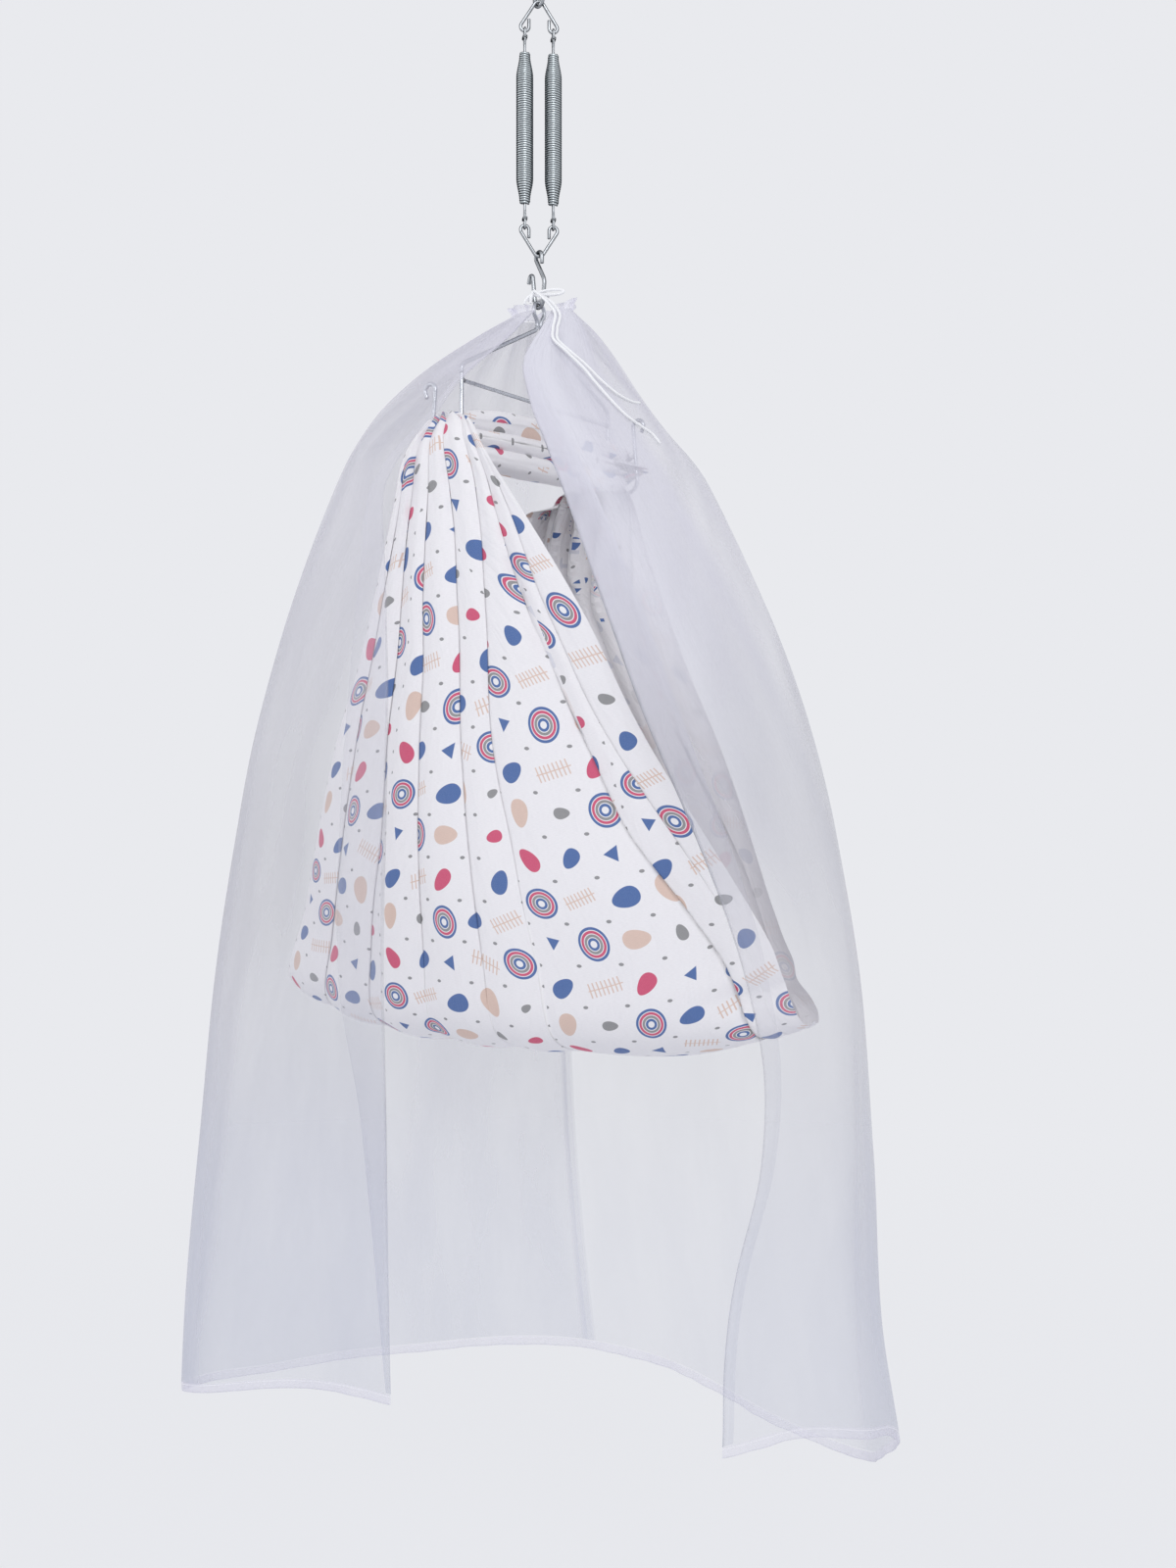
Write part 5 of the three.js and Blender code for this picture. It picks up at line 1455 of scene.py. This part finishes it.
class CRADLE_OT_springs(bpy.types.Operator):
    """Winds the two springs and hangs them in their loops and collars"""

    bl_idname = "cradle.springs"
    bl_label = "Springs"

    def execute(self, context):
        wires = context.scene.cradle_wires
        gauges = wires.loop_wire, wires.link_wire
        collar_drop = Matrix.Translation((0, 0, -0.0085))
        first = None
        for side, sign in (("left", -1), ("right", 1)):
            x, y, _ = Matrix.Rotation(math.radians(LINK_YAW), 4, "Z") @ Vector((sign * EYE_SPREAD, 0, 0))
            if first is None:
                coil = coil_mesh(wires.spring_wire, wires.spring_turns, at(x, y, COIL_TOP_Z, LINK_YAW))
                piece = first = add_object(f"{side}_spring_wire", coil, "spring")
            else:
                mesh = first.data.copy()
                mesh.transform(Matrix.Translation((2 * x, 2 * y, 0)))
                piece = bpy.data.objects.new(f"{side}_spring_wire", mesh)
                context.scene.collection.objects.link(piece)
            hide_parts(f"{side}_spring_coil")
            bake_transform(piece)
            for end, body, height in (("upper", "springs", UPPER_EYE_Z), ("lower", "spring_feet", LOWER_EYE_Z)):
                place = at(x, y, height, LINK_YAW + 90, flip=end == "lower")
                stem = f"{side}_{end}"
                loop, collar = swivel_loop_mesh(*gauges, place), collar_mesh(*gauges, place @ collar_drop)
                add_piece(f"{stem}_loop_wire", loop, "zinc", body, f"{stem}_swivel_loop", sharp=WIRE_CORNER)
                add_piece(f"{stem}_wrap", collar, "zinc", body, f"{stem}_collar")
        return {"FINISHED"}


class CRADLE_OT_frame(bpy.types.Operator):
    """Bends the cradle frame: the hanger with its ring, two sling hooks and the welded crossbar"""

    bl_idname = "cradle.frame"
    bl_label = "Frame"

    def execute(self, context):
        wires = context.scene.cradle_wires
        self.hanger(wires.frame_wire)
        for side, yaw in (("front", 0), ("back", 180)):
            self.sling_hook(side, yaw, wires.frame_wire)
        self.crossbar(wires)
        return {"FINISHED"}

    def hanger(self, gauge):
        """The ring and the two arms that slope down from it to the legs."""
        ring, corner, drop = 0.011, 0.012, 26
        slope = math.radians(drop)
        bender = WireBender((0, 0, 0), heading_at(0), gauge, 20)
        bender.bend(ring, -138).bend(ring, 138 - drop)
        bender.feed((HALF_SPAN - corner * (1 - math.sin(slope)) - bender.place.x) / math.cos(slope))
        bender.bend(corner, drop - 90).feed(0.003)
        bm = bender.both_halves().finish(at(z=RING_TOP_Z, yaw=FRAME_YAW))
        add_piece("hanger_wire", bm, "nickel", "cradle", "frame_hanger", sharp=WIRE_CORNER)

    def sling_hook(self, side, yaw, gauge):
        """One leg and its U-hook, whose free limb ends in a curl."""
        limb, curl, tip = 0.07, 0.008, 0.006
        bender = WireBender((0, 0, 0), heading_at(270), gauge, 20)
        bender.feed(HOOK_DEPTH - HOOK_RADIUS).bend(HOOK_RADIUS, -90).feed(HOOK_WIDTH - 2 * HOOK_RADIUS)
        bender.bend(HOOK_RADIUS, -95).feed(limb).bend(curl, 210).feed(tip)
        bm = bender.finish(at(yaw=yaw) @ at(y=-HALF_SPAN, z=RING_TOP_Z + HANGER_END))
        add_piece(f"{side}_hook_wire", bm, "nickel", "cradle", f"{side}_sling_hook", sharp=WIRE_CORNER)

    def crossbar(self, wires):
        """The bar between the legs, and the bead of weld at each of its ends."""
        reach, gap, sink = HALF_SPAN - wires.frame_wire / 2, 0.0002, 0.0006
        height = RING_TOP_Z + HANGER_END - CROSSBAR_DROP
        bender = WireBender((0, gap - reach, height), (0, 1, 0), wires.crossbar_wire, 18, axis=(0, 0, 1))
        bar = bender.feed(2 * (reach - gap)).finish()
        add_piece("crossbar_wire", bar, "nickel", "cradle", "frame_crossbar", sharp=WIRE_CORNER)
        for side, sign in (("front", -1), ("back", 1)):
            middle = Vector((0, sign * (reach - sink), height))
            bm = bmesh.new()
            bmesh.ops.create_icosphere(bm, subdivisions=4, radius=1.0)
            for vert in bm.verts:
                lump = 1 + 0.12 * noise.noise(vert.co * 2.1 + Vector((sign, 0, 0)))
                vert.co = middle + vert.co * Vector((0.0032, 0.0024, 0.0031)) * lump
            add_piece(f"{side}_weld", bm, "weld", "cradle")


# The strap's rolls: rise, sag, swelling, half their width and height, and where their noise starts.
STRAP_ROLLS = {
    "top": (0.018, -0.0135, 1.9, 0.0165, 0.0098, 0.3),
    "middle": (0.001, -0.0085, 1.45, 0.0172, 0.0096, 1.9),
    "bottom": (-0.0175, -0.0035, 1.6, 0.0165, 0.0098, 4.2),
}


class CRADLE_OT_sling(bpy.types.Operator):
    """Hangs the sling's cloth and rolls its strap"""

    bl_idname = "cradle.sling"
    bl_label = "Sling"

    def execute(self, context):
        settings = context.scene.cradle_sling
        halves = "sling_front_half", "sling_back_half"
        cloth = add_piece("sling_cloth", sling_panel(settings), "cotton", "cradle", *halves)
        rolls = [add_piece(f"strap_{name}_roll", strap_roll(*shape), "cotton", "cradle", "sling_strap")
                 for name, shape in STRAP_ROLLS.items()]
        return {"FINISHED"}


class CRADLE_OT_net(bpy.types.Operator):
    """Hangs the net's two panels, with their hems and the ruffled neck"""

    bl_idname = "cradle.net"
    bl_label = "Net"

    def execute(self, context):
        height = context.scene.cradle_net.hem_height
        neck = add_piece("net_neck_ruffle", casing_band(), "ruffle", "cradle", "net_neck_casing")
        for side in ("left", "right"):
            panel = add_piece(f"net_{side}_voile", net_panel(side), "voile", "cradle", f"net_{side}_panel")
            hem = add_piece(f"net_{side}_hem_band", hem_band(side, height), "hem", "cradle", f"net_{side}_hem")
        return {"FINISHED"}


PALE = (0.8148, 0.8228, 0.855)
FLOOR_Z, FLOOR_HALF = -2.3, 14.0
FLOOR_FADE = (0.7, 4.5)  # how far out the floor starts and ends to fade into the background
LAMP_AIM = Vector((0, 0, -1.1))
LAMPS = (  # name, place, watts, diameter
    ("key light", (2.6, -3.2, 1.4), 70, 2.8),
    ("fill light", (-3.0, -2.2, 0.2), 20, 2.6),
    ("back light", (0.4, 3.4, 0.8), 16, 2.6),
)


class CRADLE_OT_stage(bpy.types.Operator):
    """Lays the pale floor, sets the plain pale background and the studio light"""

    bl_idname = "cradle.stage"
    bl_label = "Stage"

    def execute(self, context):
        context.scene.view_settings.view_transform = "Standard"
        self.floor()
        self.world()
        for lamp in LAMPS:
            self.lamp(*lamp)
        return {"FINISHED"}

    def floor(self):
        """A broad pale floor that fades into the background far from the cradle."""
        bm = bmesh.new()
        bmesh.ops.create_grid(bm, x_segments=2, y_segments=2, size=FLOOR_HALF)
        bmesh.ops.translate(bm, verts=bm.verts[:], vec=(0, 0, FLOOR_Z))
        mesh = bpy.data.meshes.new("floor")
        bm.to_mesh(mesh)
        bm.free()
        material = bpy.data.materials.new("pale floor")
        w = self.empty_tree(material)
        spot = w.vectors("MULTIPLY", w.add("ShaderNodeTexCoord").outputs["Object"], (1.0, 1.0, 0.0))
        paint = w.mix(w.product(w.noise(spot, 6.0, 3.0), 0.04), PALE, (0.76, 0.77, 0.8))
        matt = w.add("ShaderNodeBsdfDiffuse", {"Color": paint})
        bright = w.add("ShaderNodeEmission", {"Color": opaque(PALE), "Strength": 1.0})
        shown = w.product(self.backdrop_rays(w), w.range(w.vectors("LENGTH", spot), *FLOOR_FADE, 0.82, 1.0))
        mixed = w.add("ShaderNodeMixShader", {0: shown, 1: matt.outputs[0], 2: bright.outputs[0]})
        w.add("ShaderNodeOutputMaterial", {"Surface": mixed.outputs[0]})
        mesh.materials.append(material)
        floor = bpy.data.objects.new("floor", mesh)
        bpy.context.scene.collection.objects.link(floor)

    def empty_tree(self, owner):
        owner.use_nodes = True
        owner.node_tree.nodes.clear()
        return Wiring(owner.node_tree)

    def backdrop_rays(self, w):
        """A mask of the rays that see the plain background: the camera's, mirrored and transmitted ones."""
        path = w.add("ShaderNodeLightPath").outputs
        return w.greater(w.greater(path["Is Camera Ray"], path["Is Glossy Ray"]), path["Is Transmission Ray"])

    def world(self):
        """An even pale sky, with the plain background where it is seen or mirrored."""
        world = bpy.data.worlds.new("studio")
        bpy.context.scene.world = world
        w = self.empty_tree(world)
        ambient = w.add("ShaderNodeBackground", {"Color": (0.95, 0.96, 1.0, 1.0), "Strength": 0.74})
        seen = w.add("ShaderNodeBackground", {"Color": opaque(PALE), "Strength": 1.0})
        shown = w.add("ShaderNodeMixShader", {0: self.backdrop_rays(w), 1: ambient.outputs[0], 2: seen.outputs[0]})
        w.add("ShaderNodeOutputWorld", {"Surface": shown.outputs[0]})

    def lamp(self, name, place, power, size):
        data = bpy.data.lights.new(name, "AREA")
        data.energy, data.shape, data.size = power, "DISK", size
        lamp = bpy.data.objects.new(name, data)
        lamp.location = place
        lamp.rotation_mode = "QUATERNION"
        lamp.rotation_quaternion = (LAMP_AIM - Vector(place)).to_track_quat("-Z", "Y")
        bpy.context.scene.collection.objects.link(lamp)


class CRADLE_PT_panel(bpy.types.Panel):
    """Lists a button for each of the cradle's operators"""

    bl_idname = "CRADLE_PT_panel"
    bl_label = "Hanging Baby Cradle"
    bl_space_type = "VIEW_3D"
    bl_region_type = "UI"
    bl_category = "Cradle"

    def draw(self, context):
        for operator in OPERATORS:
            self.layout.operator(operator.bl_idname)


SETTINGS = {
    "cradle_wires": CradleWireSettings,
    "cradle_sling": CradleSlingSettings,
    "cradle_net": CradleNetSettings,
    "cradle_cord": CradleCordSettings,
}
OPERATORS = (
    CRADLE_OT_camera, CRADLE_OT_drawcord, CRADLE_OT_hooks, CRADLE_OT_links, CRADLE_OT_springs,
    CRADLE_OT_frame, CRADLE_OT_sling, CRADLE_OT_net, CRADLE_OT_stage,
)


def register():
    for settings in SETTINGS.values():
        bpy.utils.register_class(settings)
    for operator in OPERATORS:
        bpy.utils.register_class(operator)
    bpy.utils.register_class(CRADLE_PT_panel)
    for name, settings in SETTINGS.items():
        setattr(bpy.types.Scene, name, PointerProperty(type=settings))


def unregister():
    for name in SETTINGS:
        delattr(bpy.types.Scene, name)
    bpy.utils.unregister_class(CRADLE_PT_panel)
    for operator in reversed(OPERATORS):
        bpy.utils.unregister_class(operator)
    for settings in SETTINGS.values():
        bpy.utils.unregister_class(settings)


def main():
    register()
    bpy.ops.cradle.camera()
    bpy.ops.cradle.drawcord()
    bpy.ops.cradle.hooks()
    bpy.ops.cradle.links()
    bpy.ops.cradle.springs()
    bpy.ops.cradle.frame()
    bpy.ops.cradle.sling()
    bpy.ops.cradle.net()
    bpy.ops.cradle.stage()


if __name__ == "__main__":
    main()
